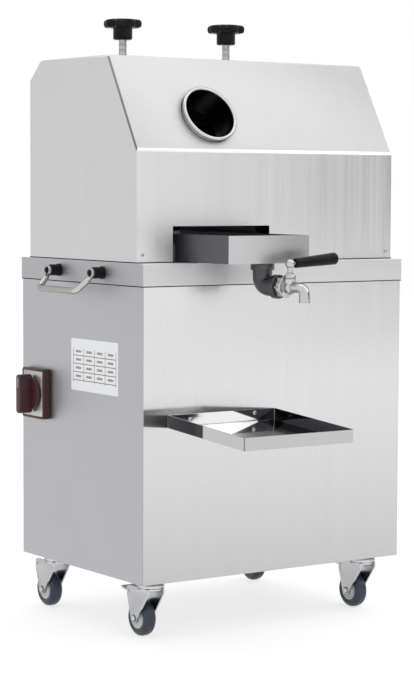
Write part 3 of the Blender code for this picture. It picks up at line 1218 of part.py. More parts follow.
def brake_pedal(tag, x, y):
    """The pedal that locks a front wheel: a sleeve on the fork's pin with a tab behind it."""
    sleeve = PEDAL_PIN_RADIUS + GAP
    wall = 1.6 * MM
    outer = sleeve + wall
    width = 2 * (FORK_INNER_HALF - 2 * GAP)
    ring = outline_mesh("brake_pedal_" + tag, [circle(outer, 14), circle(sleeve, 10)], width)
    pivot = (x, y + PEDAL_PIVOT_BACK, BASE_Z - PEDAL_PIVOT_DROP)
    item = add_part("brake_pedal_" + tag, ring, CHROME, pivot, ALONG_X)
    start = (sleeve + outer) / 2
    half = PEDAL_SHEET / 2
    bend = PEDAL_LENGTH * 0.62
    tab = [(start, -half), (bend, -half), (PEDAL_LENGTH, 2.5 * MM - half), (PEDAL_LENGTH, 2.5 * MM + half),
           (bend, half), (start, half)]
    fuse(item, add_tool("pedal_tab_" + tag, outline_mesh("pedal_tab", [tab], width), pivot, ALONG_X))


def casters():
    """Four swivel casters; the two at the front have brakes."""
    for across, side in ((-1, "left"), (1, "right")):
        x = across * (CABINET_WIDTH / 2 - CASTER_INSET)
        caster("front_" + side, x, FRONT + CASTER_INSET, True)
        caster("rear_" + side, x, BACK - CASTER_INSET, False)


def build():
    """Make the whole machine."""
    cabinet_shell()
    deck_plate()
    bed_plate()
    rear_panel()
    cable_gland()
    hood()
    feed_tube()
    cheeks()
    rollers()
    gears()
    pressure_screws()
    gearbox()
    gearbox_pedestal()
    motor()
    discharge_chute()
    juice_tray()
    outlet_elbow()
    tap()
    cup_tray()
    side_handles()
    rotary_switch()
    casters()


clear_scene()
PARTS = new_collection("sugarcane_juicer")
TOOLS = new_collection("cutters")
build()
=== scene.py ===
"""Looks of an electric sugarcane juicer: every piece of its frame dressed, and the fine pieces made anew.

Lengths are metres in the frame's own axes: +X to the operator's right, +Y to the back, +Z up, floor at zero.
"""

import json
import logging
import math
from collections.abc import Callable, Sequence
from dataclasses import dataclass
from enum import Enum

import bmesh
import bpy
from bpy.types import ID, Material, Mesh, Node, NodeOutputs, NodeSocket, NodeTree, Object
from mathutils import Matrix, Vector


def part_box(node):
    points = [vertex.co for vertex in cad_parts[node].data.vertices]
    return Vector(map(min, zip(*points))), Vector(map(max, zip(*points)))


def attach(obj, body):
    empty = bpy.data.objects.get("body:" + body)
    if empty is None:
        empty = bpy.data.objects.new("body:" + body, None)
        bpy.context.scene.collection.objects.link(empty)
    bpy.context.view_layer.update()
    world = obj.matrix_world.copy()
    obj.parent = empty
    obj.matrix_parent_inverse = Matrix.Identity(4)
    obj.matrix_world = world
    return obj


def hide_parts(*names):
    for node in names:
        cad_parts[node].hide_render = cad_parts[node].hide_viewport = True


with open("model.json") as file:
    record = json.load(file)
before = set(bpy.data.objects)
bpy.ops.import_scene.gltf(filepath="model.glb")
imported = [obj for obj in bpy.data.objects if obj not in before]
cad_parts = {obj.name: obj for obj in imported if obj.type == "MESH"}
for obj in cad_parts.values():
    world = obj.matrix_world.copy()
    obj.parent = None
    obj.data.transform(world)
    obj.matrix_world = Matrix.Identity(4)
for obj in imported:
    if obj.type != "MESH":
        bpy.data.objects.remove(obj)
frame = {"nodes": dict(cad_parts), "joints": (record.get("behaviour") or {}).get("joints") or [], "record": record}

MM = 0.001
WELD = 0.00001
LOG = logging.getLogger("juicer")
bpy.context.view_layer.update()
BODY_OF = {node: body for body, nodes in frame["record"]["behaviour"]["bodies"].items() for node in nodes}
JOINTS = {joint["name"]: joint for joint in frame["joints"]}
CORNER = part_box("cabinet_shell")[0]

Place = Sequence[float]
Point = tuple[float, float]
Colour = tuple[float, float, float]
Outline = Callable[[float, float], float]


class Axis(Enum):
    """The way a turned profile or a flat outline stands in the frame."""

    X = Matrix(((0, 0, 1), (1, 0, 0), (0, 1, 0)))
    X_LEFT = Matrix(((0, 0, -1), (-1, 0, 0), (0, 1, 0)))
    Z = Matrix.Identity(3)


class Grain(Enum):
    """The direction of a sheet's brushing, as noise frequencies along x, y and z, per metre."""

    ALONG_X = (5.0, 420.0, 420.0)
    ALONG_Y = (420.0, 5.0, 420.0)
    ALONG_Z = (420.0, 420.0, 5.0)


class Slot(Enum):
    """The record's material slots."""

    BRUSHED = "brushed_steel"
    POLISHED = "polished_steel"
    CAST = "cast_steel"
    CHROME = "chrome"
    PAINT = "dark_paint"
    BLACK = "black_plastic"
    BROWN = "brown_plastic"
    RUBBER = "blue_rubber"


# Shapes


def linked(name: str, data: ID) -> Object:
    """Put data in the scene as a new object.

    Args:
        name: the object's name.
        data: mesh or curve data.

    Returns:
        The new object.
    """
    item = bpy.data.objects.new(name, data)
    bpy.context.scene.collection.objects.link(item)
    return item


def settled(item: Object) -> Object:
    """Apply an object's modifiers and place, and leave one plain mesh at the origin.

    Args:
        item: the object to settle, which is removed.

    Returns:
        The plain mesh object, under the same name.
    """
    bpy.context.view_layer.update()
    graph = bpy.context.evaluated_depsgraph_get()
    data = bpy.data.meshes.new_from_object(item.evaluated_get(graph), depsgraph=graph)
    data.transform(item.matrix_world)
    name = item.name
    bpy.data.objects.remove(item, do_unlink=True)
    data.name = name
    return linked(name, data)


def from_form(name: str, form: bmesh.types.BMesh, smooth: float = 35.0) -> Object:
    """Turn a bmesh into a smooth-shaded object.

    Args:
        name: the object's name.
        form: the bmesh, which is freed.
        smooth: edges sharper than this many degrees stay sharp.

    Returns:
        The new object.
    """
    data = bpy.data.meshes.new(name)
    form.to_mesh(data)
    form.free()
    data.shade_smooth()
    data.set_sharp_from_angle(angle=math.radians(smooth))
    return linked(name, data)


def joined(name: str, parts: Sequence[Object]) -> Object:
    """Join settled objects of one finish into one piece.

    Args:
        name: the piece's name.
        parts: objects at the origin, which are removed.

    Returns:
        The joined object.
    """
    form = bmesh.new()
    for part in parts:
        form.from_mesh(part.data)
        bpy.data.objects.remove(part, do_unlink=True)
    return from_form(name, form, 40.0)


def placed(item: Object, origin: Place, stand: Axis | Matrix = Axis.Z) -> Object:
    """Turn and move a mesh to its place, with its object left at the origin.

    Args:
        item: an object with its own mesh.
        origin: where the shape's own origin goes.
        stand: the way the shape stands.

    Returns:
        The same object.
    """
    turn = stand.value if isinstance(stand, Axis) else stand
    item.data.transform(Matrix.Translation(Vector(origin)) @ turn.to_4x4())
    return item


def plain_round(radius: float, angle: float) -> float:
    """The outline of a plain turned piece: the same radius all round."""
    return radius


def six_sided(apothem: float, limit: float = math.inf, swell: float = 1.0) -> Outline:
    """An outline that keeps a turned profile within a hexagon, as in nuts, bolt heads and sockets.

    Args:
        apothem: half the width across the flats.
        limit: radii beyond this one stay round, as a washer or a round head does.
        swell: factor on the radii within the limit.

    Returns:
        The outline function.
    """
    sector = math.pi / 3

    def outline(radius: float, angle: float) -> float:
        """The smaller of the round radius and the hexagon's edge, or the plain radius beyond the limit."""
        if radius > limit:
            return radius
        off_flat = (angle % sector) - sector / 2
        return min(radius * swell, apothem / math.cos(off_flat))

    return outline


def rounded(first: Vector, corner: Vector, last: Vector, steps: int) -> list[Vector]:
    """Points of a curve round a corner, from a place on its one side to a place on the other."""
    shares = (k / steps for k in range(steps + 1))
    return [first.lerp(corner, t).lerp(corner.lerp(last, t), t) for t in shares]


def softened(points: Sequence[Point], radius: float, steps: int = 3, closed: bool = False) -> list[Point]:
    """Round the corners of a flat line.

    Args:
        points: corners in order.
        radius: the corner radius, limited by the sides that meet there.
        steps: pieces in each arc.
        closed: whether the line is a loop.

    Returns:
        The rounded line's points.
    """
    made = []
    count = len(points)
    for i, here in enumerate(points):
        if not closed and i in (0, count - 1):
            made.append(tuple(here))
            continue
        corner = Vector(here)
        before = Vector(points[i - 1]) - corner
        after = Vector(points[(i + 1) % count]) - corner
        half = before.angle(after) / 2
        if half > math.radians(88):
            made.append(tuple(here))
            continue
        reach = min(radius / math.tan(half), 0.48 * before.length, 0.48 * after.length)
        start = corner + before.normalized() * reach
        end = corner + after.normalized() * reach
        made += [(point.x, point.y) for point in rounded(start, corner, end, steps)]
    return made


def fill_bands(form: bmesh.types.BMesh, rows: Sequence[list], ring: bool = False) -> None:
    """Fill the bands between closed rows of points, and from the last to the first in a ring."""
    for low, high in zip(rows, rows[1:] + rows[:1] if ring else rows[1:]):
        for k, point in enumerate(low):
            after = (k + 1) % len(low)
            form.faces.new((point, low[after], high[after], high[k]))


def turned(name: str, profile: Sequence[Point], steps: int = 64, outline: Outline = plain_round,
           ring: bool = False, smooth: float = 35.0) -> Object:
    """A piece turned about z, round or with an outline of its own.

    Args:
        name: the object's name.
        profile: (radius, height) pairs from one end of the axis to the other, or round a ring's section.
        steps: points round the axis.
        outline: gives the radius at an angle, for stars and hexagons.
        ring: whether the profile is a closed loop clear of the axis.
        smooth: edges sharper than this many degrees stay sharp.

    Returns:
        The new object, with its axis through its origin.
    """
    form = bmesh.new()
    rows = []
    for radius, height in profile:
        angles = (2 * math.pi * k / steps for k in range(steps))
        reach = [(outline(radius, a), a) for a in angles]
        rows.append([form.verts.new((r * math.cos(a), r * math.sin(a), height)) for r, a in reach])
    fill_bands(form, rows, ring)
    bmesh.ops.remove_doubles(form, verts=form.verts, dist=WELD)
    if not ring:
        bmesh.ops.holes_fill(form, edges=form.edges, sides=0)
    bmesh.ops.recalc_face_normals(form, faces=form.faces)
    return from_form(name, form, smooth)


def slab(name: str, loop: Sequence[Point], thickness: float, edge: float = 0.0, segments: int = 2) -> Object:
    """A flat outline with thickness along z and soft edges.

    Args:
        name: the object's name.
        loop: the outline's points.
        thickness: along z, around the origin.
        edge: width of the softened edges.
        segments: steps in them.

    Returns:
        The new object.
    """
    form = bmesh.new()
    base = form.faces.new([form.verts.new((x, y, -thickness / 2)) for x, y in loop])
    grown = bmesh.ops.extrude_face_region(form, geom=[base])
    lifted = [v for v in grown["geom"] if isinstance(v, bmesh.types.BMVert)]
    bmesh.ops.translate(form, vec=Vector((0, 0, thickness)), verts=lifted)
    bmesh.ops.recalc_face_normals(form, faces=form.faces)
    if edge:
        rims = [e for e in form.edges if len(e.link_faces) == 2 and e.calc_face_angle() > math.radians(50)]
        bmesh.ops.bevel(form, geom=rims, offset=edge, segments=segments, profile=0.5, affect='EDGES')
    return from_form(name, form)


def rectangle(width: float, height: float) -> list[Point]:
    """Corners of a rectangle around the origin."""
    return [(sx * width / 2, sy * height / 2) for sx, sy in ((-1, -1), (1, -1), (1, 1), (-1, 1))]


def panel(width: float, height: float, radius: float, steps: int) -> list[Point]:
    """A rectangle with round corners, around the origin, from sizes in millimetres."""
    return softened(rectangle(width * MM, height * MM), radius * MM, steps, True)


def refined(node: str, edge: float, segments: int = 2, fold: float = 42.0) -> Object:
    """A welded copy of a frame node with its edges softened.

    Args:
        node: the frame node to copy.
        edge: width of the softened edges.
        segments: steps in each edge.
        fold: edges sharper than this many degrees are softened.

    Returns:
        The copy, named after the node.
    """
    form = bmesh.new()
    form.from_mesh(frame["nodes"][node].data)
    bmesh.ops.remove_doubles(form, verts=form.verts, dist=WELD)
    bmesh.ops.dissolve_limit(form, angle_limit=math.radians(0.4), verts=form.verts, edges=form.edges)
    item = from_form(node + "_piece", form, fold)
    bevel = item.modifiers.new("soft_edges", 'BEVEL')
    bevel.width = edge
    bevel.segments = segments
    bevel.limit_method = 'ANGLE'
    bevel.angle_limit = math.radians(fold)
    bevel.harden_normals = True
    return settled(item)


def carve(item: Object, tools: Sequence[Object]) -> Object:
    """Cut tools out of a piece and remove them.

    Args:
        item: the piece.
        tools: closed shapes.

    Returns:
        The cut piece as a plain mesh.
    """
    for tool in tools:
        cutter = item.modifiers.new("carve", 'BOOLEAN')
        cutter.operation = 'DIFFERENCE'
        cutter.solver = 'EXACT'
        cutter.object = tool
    made = settled(item)
    for tool in tools:
        bpy.data.objects.remove(tool, do_unlink=True)
    return made


def seat(item: Object, finish: Material | None, slot: Slot, nodes: Sequence[str] = (),
         body: str = "frame") -> Object:
    """Dress a finished piece, let it ride on its body and stand for its nodes.

    Args:
        item: a plain mesh at the origin.
        finish: its material, or None where its geometry tree has set one.
        slot: the record's material slot; not used.
        nodes: the frame nodes that it stands for.
        body: the body it rides on, if it stands for no node.

    Returns:
        The same object.
    """
    if finish:
        item.data.materials.clear()
        item.data.materials.append(finish)
    carrier = BODY_OF[nodes[0]] if nodes else body
    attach(item, carrier)
    if nodes:
        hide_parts(*nodes)
    LOG.info("%s rides on %s", item.name, carrier)
    return item


# Finishes


class Wiring:
    """Adds nodes to one tree and links them."""

    def __init__(self, tree: NodeTree) -> None:
        """Keep the tree to work in."""
        self.tree = tree

    def feed(self, node: Node, inputs: dict) -> None:
        """Set a node's inputs, by name or number, to values or to other nodes' sockets."""
        for key, value in inputs.items():
            if isinstance(value, NodeSocket):
                self.tree.links.new(value, node.inputs[key])
            else:
                node.inputs[key].default_value = value

    def node(self, kind: str, inputs: dict | None = None, **settings: object) -> Node:
        """Add a node.

        Args:
            kind: the node's type name.
            inputs: values or sockets for its inputs, by name or number.
            **settings: the node's own properties.

        Returns:
            The new node.
        """
        made = self.tree.nodes.new(kind)
        for key, value in settings.items():
            setattr(made, key, value)
        self.feed(made, inputs or {})
        return made

    def wire(self, kind: str, inputs: dict | None = None, **settings: object) -> NodeSocket:
        """Add a node and return its first output."""
        return self.node(kind, inputs, **settings).outputs[0]

    def maths(self, operation: str, *values: object) -> NodeSocket:
        """Add a Math node and return its value socket."""
        return self.wire('ShaderNodeMath', dict(enumerate(values)), operation=operation)

    def product(self, *values: object) -> NodeSocket:
        """Multiply two or more values."""
        made = values[0]
        for value in values[1:]:
            made = self.maths('MULTIPLY', made, value)
        return made

    def ramp(self, value: NodeSocket, start: float, end: float, low: float = 0.0,
             high: float = 1.0) -> NodeSocket:
        """Map a value between start and end to one between low and high."""
        return self.wire('ShaderNodeMapRange', {"Value": value, "From Min": start, "From Max": end,
                                                "To Min": low, "To Max": high})

    def above(self, value: NodeSocket, limit: float) -> NodeSocket:
        """One where a value is above a limit, zero elsewhere."""
        return self.maths('GREATER_THAN', value, limit)

    def below(self, value: NodeSocket, limit: float) -> NodeSocket:
        """One where a value is below a limit, zero elsewhere."""
        return self.maths('LESS_THAN', value, limit)

    def xyz(self, vector: NodeSocket) -> NodeOutputs:
        """Split a vector into its three parts."""
        return self.node('ShaderNodeSeparateXYZ', {0: vector}).outputs

    def place(self) -> NodeSocket:
        """The point's place on the machine."""
        return self.node('ShaderNodeTexCoord').outputs["Object"]


def new_tree(kind: str, name: str, inputs: dict[str, tuple],
             outputs: dict[str, str]) -> tuple[Wiring, NodeOutputs, Node]:
    """Start a node group.

    Args:
        kind: shader or geometry tree.
        name: the group's name.
        inputs: socket type and value, or None, by input name.
        outputs: socket type by output name.

    Returns:
        The group's wiring, the sockets it is given and its output node.
    """
    tree = bpy.data.node_groups.new(name, kind)
    for title, (socket, value) in inputs.items():
        made = tree.interface.new_socket(name=title, in_out='INPUT', socket_type='NodeSocket' + socket)
        if value is not None:
            made.default_value = value
    for title, socket in outputs.items():
        tree.interface.new_socket(name=title, in_out='OUTPUT', socket_type='NodeSocket' + socket)
    wiring = Wiring(tree)
    return wiring, wiring.node('NodeGroupInput').outputs, wiring.node('NodeGroupOutput')


def brushing_group() -> NodeTree:
    """The fine parallel lines of brushed sheet.

    Returns:
        A group with Frequency, Contrast and Roughness in; Tone, Roughness and Height out.
    """
    w, given, out = new_tree('ShaderNodeTree', "brushing", {
        "Frequency": ('Vector', Grain.ALONG_Z.value), "Contrast": ('Float', 0.05),
        "Roughness": ('Float', 0.35)}, {"Tone": 'Float', "Roughness": 'Float', "Height": 'Float'})
    lines = w.wire('ShaderNodeVectorMath', {0: w.place(), 1: given["Frequency"]}, operation='MULTIPLY')
    where = {"Vector": lines}
    fine = w.wire('ShaderNodeTexNoise', {**where, "Scale": 1.0, "Detail": 4.0, "Roughness": 0.62})
    broad = w.wire('ShaderNodeTexNoise', {**where, "Scale": 0.11, "Detail": 2.0})
    centred = w.maths('SUBTRACT', w.maths('ADD', fine, w.product(broad, 0.6)), 0.8)
    w.feed(out, {"Tone": w.maths('ADD', w.product(centred, given["Contrast"]), 1.0),
                 "Roughness": w.maths('MULTIPLY_ADD', centred, 0.16, given["Roughness"]), "Height": fine})
    return w.tree


def handling_group() -> NodeTree:
    """Faint smudges and dust of a machine that is used and wiped.

    Returns:
        A group with Size and Amount in; Mask out.
    """
    w, given, out = new_tree('ShaderNodeTree', "handling", {"Size": ('Float', 9.0), "Amount": ('Float', 0.2)},
                             {"Mask": 'Float'})
    clouds = w.wire('ShaderNodeTexNoise', {"Vector": w.place(), "Scale": given["Size"], "Detail": 5.0,
                                           "Roughness": 0.6, "Distortion": 0.4})
    w.feed(out, {"Mask": w.product(w.ramp(clouds, 0.42, 0.72), given["Amount"])})
    return w.tree


def pebbling_group() -> NodeTree:
    """The pebbled skin of castings, paint, rubber and moulded plastic.

    Returns:
        A group with Size and Contrast in; Tone and Height out.
    """
    w, given, out = new_tree('ShaderNodeTree', "pebbling", {
        "Size": ('Float', 600.0), "Contrast": ('Float', 0.1)}, {"Tone": 'Float', "Height": 'Float'})
    where = {"Vector": w.place(), "Scale": given["Size"]}
    pits = w.wire('ShaderNodeTexNoise', {**where, "Detail": 3.0})
    cells = w.wire('ShaderNodeTexVoronoi', where)
    swing = w.product(w.maths('SUBTRACT', pits, 0.5), given["Contrast"])
    w.feed(out, {"Tone": w.maths('ADD', swing, 1.0), "Height": w.maths('ADD', pits, w.product(cells, 0.4))})
    return w.tree


GROUPS = {"brushing": brushing_group(), "handling": handling_group(), "pebbling": pebbling_group()}


def start_material(name: str) -> tuple[Wiring, Node, Node]:
    """Make a material with a Principled shader.

    Args:
        name: the material's name.

    Returns:
        The wiring, the shader and its output node.
    """
    material = bpy.data.materials.new(name)
    material.use_nodes = True
    nodes = material.node_tree.nodes
    return Wiring(material.node_tree), nodes["Principled BSDF"], nodes["Material Output"]


def grouped(w: Wiring, name: str, first: object, second: float, *more: object) -> NodeOutputs:
    """Place a shared group in a material, with this material's own values in the group's order."""
    return w.node('ShaderNodeGroup', dict(enumerate((first, second, *more))), node_tree=GROUPS[name]).outputs


def tinted(w: Wiring, colour: Sequence[float], tone: NodeSocket, mask: NodeSocket,
           dirt_ink_and_painted_reflection: Sequence[float]) -> NodeSocket:
    """A colour varied by a tone and clouded by a mask.

    Args:
        w: the material's wiring.
        colour: the base colour.
        tone: a factor near one.
        mask: where the laid-over colour shows.
        dirt_ink_and_painted_reflection: the colour laid over it: smudges and dust in most finishes, ink on the
            label, a painted dark reflection on the cup tray.

    Returns:
        The colour socket.
    """
    scaled = w.wire('ShaderNodeVectorMath', {0: tuple(colour), 3: tone}, operation='SCALE')
    mixed = w.node('ShaderNodeMix', data_type='RGBA', blend_type='MIX')
    w.feed(mixed, {"Factor": mask, 6: scaled, 7: (*dirt_ink_and_painted_reflection, 1.0)})
    return mixed.outputs[2]


def bumped(w: Wiring, strength: float, distance: float, height: NodeSocket) -> NodeSocket:
    """A normal roughened by a height, its distance in millimetres."""
    return w.wire('ShaderNodeBump', {"Strength": strength, "Distance": distance * MM,
                                     "Height": height})


@dataclass(frozen=True)
class SheetSteel:
    """Stainless sheet with its brushing; it may carry painted shade, darker towards the floor and lighter upwards,
    and turn mirror-bright with height.

    The bands are heights in metres.
    """

    name: str
    colour: Colour = (0.66, 0.66, 0.67)
    roughness: float = 0.36
    grain: Grain = Grain.ALONG_Z
    contrast: float = 0.10
    depth: float = 0.02
    smudge: float = 0.10
    mirror: float = 0.0
    mirror_band: Point = (0.36, 0.43)
    mirror_least: float = 0.08
    mirror_roughness: float = 0.07
    # Tone factors of the painted shade at the low and high ends of its band of heights.
    height_shade: Point = (1.0, 1.0)
    height_shade_band: Point = (0.08, 0.50)

    def material(self) -> Material:
        """Build the finish."""
        w, shader, out = start_material(self.name)
        lines = grouped(w, "brushing", self.grain.value, self.contrast, self.roughness)
        marks = grouped(w, "handling", 7.0, self.smudge)[0]
        height = w.xyz(w.place())[2]
        # Painted shade: the tone is ramped with height, darker towards the floor.
        tone = w.product(lines["Tone"], w.ramp(height, *self.height_shade_band, *self.height_shade))
        colour = tinted(w, self.colour, tone, marks, [0.9 * channel for channel in self.colour])
        w.feed(shader, {"Base Color": colour, "Metallic": 1.0,
                        "Roughness": w.maths('MULTIPLY_ADD', marks, 0.3, lines["Roughness"]),
                        "Normal": bumped(w, self.depth, 0.2, lines["Height"])})
        if self.mirror:
            gloss = w.wire('ShaderNodeBsdfPrincipled', {"Base Color": colour, "Metallic": 1.0,
                                                        "Roughness": self.mirror_roughness})
            share = w.ramp(height, *self.mirror_band, self.mirror, self.mirror_least)
            both = {0: share, 1: shader.outputs[0], 2: gloss}
            w.feed(out, {"Surface": w.wire('ShaderNodeMixShader', both)})
        return bpy.data.materials[self.name]


@dataclass(frozen=True)
class BrightMetal:
    """Chrome plate and polished steel, with painted shade that darkens the colour where the surface turns away."""

    name: str
    colour: Colour
    roughness: float
    smudge: float = 0.25
    # How far the painted shade darkens the colour at grazing view.
    rim: float = 0.75

    def material(self) -> Material:
        """Build the finish."""
        w, shader, _ = start_material(self.name)
        marks = grouped(w, "handling", 30.0, self.smudge)[0]
        # Painted shade: the colour darkens towards grazing view, standing in for the dark edges of the reflection.
        turned_away = w.node('ShaderNodeLayerWeight', {"Blend": 0.5}).outputs["Facing"]
        shade = w.ramp(turned_away, 0.22, 0.8, 1.0, 1 - self.rim)
        tone = w.product(grouped(w, "pebbling", 260.0, 0.04)["Tone"], shade)
        dull = [0.86 * channel for channel in self.colour]
        w.feed(shader, {"Base Color": tinted(w, self.colour, tone, marks, dull),
                        "Roughness": w.maths('MULTIPLY_ADD', marks, 0.25, self.roughness), "Metallic": 1.0})
        return bpy.data.materials[self.name]


@dataclass(frozen=True)
class Moulded:
    """Plastic, rubber, paint and castings: a pebbled skin in one colour."""

    name: str
    colour: Colour
    roughness: float
    metallic: float = 0.0
    size: float = 900.0
    depth: float = 0.05
    contrast: float = 0.2
    coat: float = 0.0
    dust: float = 0.06
    shine: float = 0.5

    def material(self) -> Material:
        """Build the finish."""
        w, shader, _ = start_material(self.name)
        skin = grouped(w, "pebbling", self.size, self.contrast)
        marks = grouped(w, "handling", 24.0, self.dust)[0]
        pale = [0.6 * channel + 0.14 for channel in self.colour]
        w.feed(shader, {"Base Color": tinted(w, self.colour, skin["Tone"], marks, pale),
                        "Roughness": w.maths('MULTIPLY_ADD', marks, 0.8, self.roughness),
                        "Normal": bumped(w, self.depth, 0.3, skin["Height"]), "Metallic": self.metallic,
                        "Coat Weight": self.coat, "Specular IOR Level": self.shine, "Coat Roughness": 0.06})
        return bpy.data.materials[self.name]


@dataclass(frozen=True)
class MirrorWithPaintedReflection:
    """The mirror-bright cup tray with a painted dark reflection, as of a dark studio wall.

    The painted dark reflection shows on one side of a slanting line inside the tray, and on the rear half of its
    outer left side; faces other than the floor and the inner rear and right walls get painted shade. Places and
    heights are metres in the frame's axes.
    """

    name: str
    bright: Colour = (0.86, 0.86, 0.865)
    # The colour of the painted dark reflection.
    dark: Colour = (0.035, 0.035, 0.04)
    slant: float = -0.10
    start: float = -0.026
    floor: float = 0.307
    rise: float = 2.9
    patch: float = -0.174
    # Tone of the painted shade on faces other than the floor and the inner rear and right walls.
    sides: float = 0.58
    rear_wall: float = -0.12
    right_wall: float = -0.06
    left_wall: float = -0.15
    soft: float = 0.002
    patch_soft: float = 0.001

    def material(self) -> Material:
        """Build the finish."""
        w, shader, _ = start_material(self.name)
        place = w.xyz(w.place())
        facing = w.xyz(w.node('ShaderNodeNewGeometry').outputs["True Normal"])
        risen = w.maths('MAXIMUM', w.maths('SUBTRACT', place[2], self.floor), 0.0)
        level = w.maths('MULTIPLY_ADD', place[1], self.slant, place[0])
        across = w.maths('MULTIPLY_ADD', risen, self.rise, level)
        past = w.ramp(across, self.start - self.soft, self.start + self.soft)
        inside = self.inside(w, place, facing)
        # Painted reflection: the mask lays the dark colour where a dark studio wall would be mirrored.
        mask = w.maths('MAXIMUM', w.product(past, inside), self.outer(w, place, facing))
        # Painted shade: faces other than the floor and the inner rear and right walls are darkened by the sides
        # factor.
        tone = w.product(grouped(w, "pebbling", 60.0, 0.03)["Tone"],
                         w.maths('MULTIPLY_ADD', inside, 1 - self.sides, self.sides))
        w.feed(shader, {"Base Color": tinted(w, self.bright, tone, mask, self.dark), "Metallic": 1.0,
                        "Roughness": 0.08})
        return bpy.data.materials[self.name]

    def inside(self, w: Wiring, place: NodeOutputs, facing: NodeOutputs) -> NodeSocket:
        """One on the floor and on the inner sides of the rear and right walls, zero elsewhere."""
        floor = w.above(facing[2], 0.5)
        rear = w.product(w.below(facing[1], -0.5), w.above(place[1], self.rear_wall))
        right = w.product(w.below(facing[0], -0.5), w.above(place[0], self.right_wall))
        return w.maths('MAXIMUM', floor, w.maths('MAXIMUM', rear, right))

    def outer(self, w: Wiring, place: NodeOutputs, facing: NodeOutputs) -> NodeSocket:
        """One on the rear half of the outer left side, where the painted dark reflection goes, zero elsewhere."""
        left = w.product(w.below(facing[0], -0.5), w.below(place[0], self.left_wall))
        return w.product(left, w.ramp(place[1], self.patch - self.patch_soft, self.patch + self.patch_soft))


@dataclass(frozen=True)
class RuledLabel:
    """A printed plate without any words: white, with ruled rows and columns and plain bars in the cells.

    The cells' sizes and the line are millimetres, the other places metres in the frame's axes.
    """

    name: str
    paper: Colour = (0.86, 0.87, 0.88)
    ink: Colour = (0.10, 0.10, 0.12)
    row: float = 12.0
    column: float = 29.2
    first_rule: float = -0.0166
    columns: int = 4
    line: float = 0.55
    bar: Point = (0.24, 0.36)
    bar_ink: float = 0.75
    table: Point = (0.357, 0.4065)

    def material(self) -> Material:
        """Build the finish."""
        w, shader, _ = start_material(self.name)
        place = w.xyz(w.place())
        past = w.maths('SUBTRACT', place[1], self.first_rule)
        across, up = self.cell(w, past, self.column), self.cell(w, place[2], self.row)
        rule = w.below(w.maths('MINIMUM', across, up), self.line * MM)
        bar = w.product(w.above(across, self.bar[0] * self.column * MM),
                        w.above(up, self.bar[1] * self.row * MM), self.bar_ink)
        half = self.columns * self.column * MM / 2
        off = w.maths('ABSOLUTE', w.maths('SUBTRACT', past, half))
        between = w.below(off, half + self.line * MM)
        inked = w.product(between, w.above(place[2], self.table[0]), w.below(place[2], self.table[1]),
                          w.maths('MAXIMUM', rule, bar))
        colour = tinted(w, self.paper, grouped(w, "pebbling", 300.0, 0.05)["Tone"], inked, self.ink)
        w.feed(shader, {"Base Color": colour, "Roughness": 0.35})
        return bpy.data.materials[self.name]

    def cell(self, w: Wiring, along: NodeSocket, size: float) -> NodeSocket:
        """The distance to the nearest rule, for rules that stand a size apart."""
        share = w.maths('FRACT', w.product(along, 1.0 / (size * MM)))
        off = w.maths('ABSOLUTE', w.maths('SUBTRACT', share, 0.5))
        return w.product(w.maths('SUBTRACT', 0.5, off), size * MM)


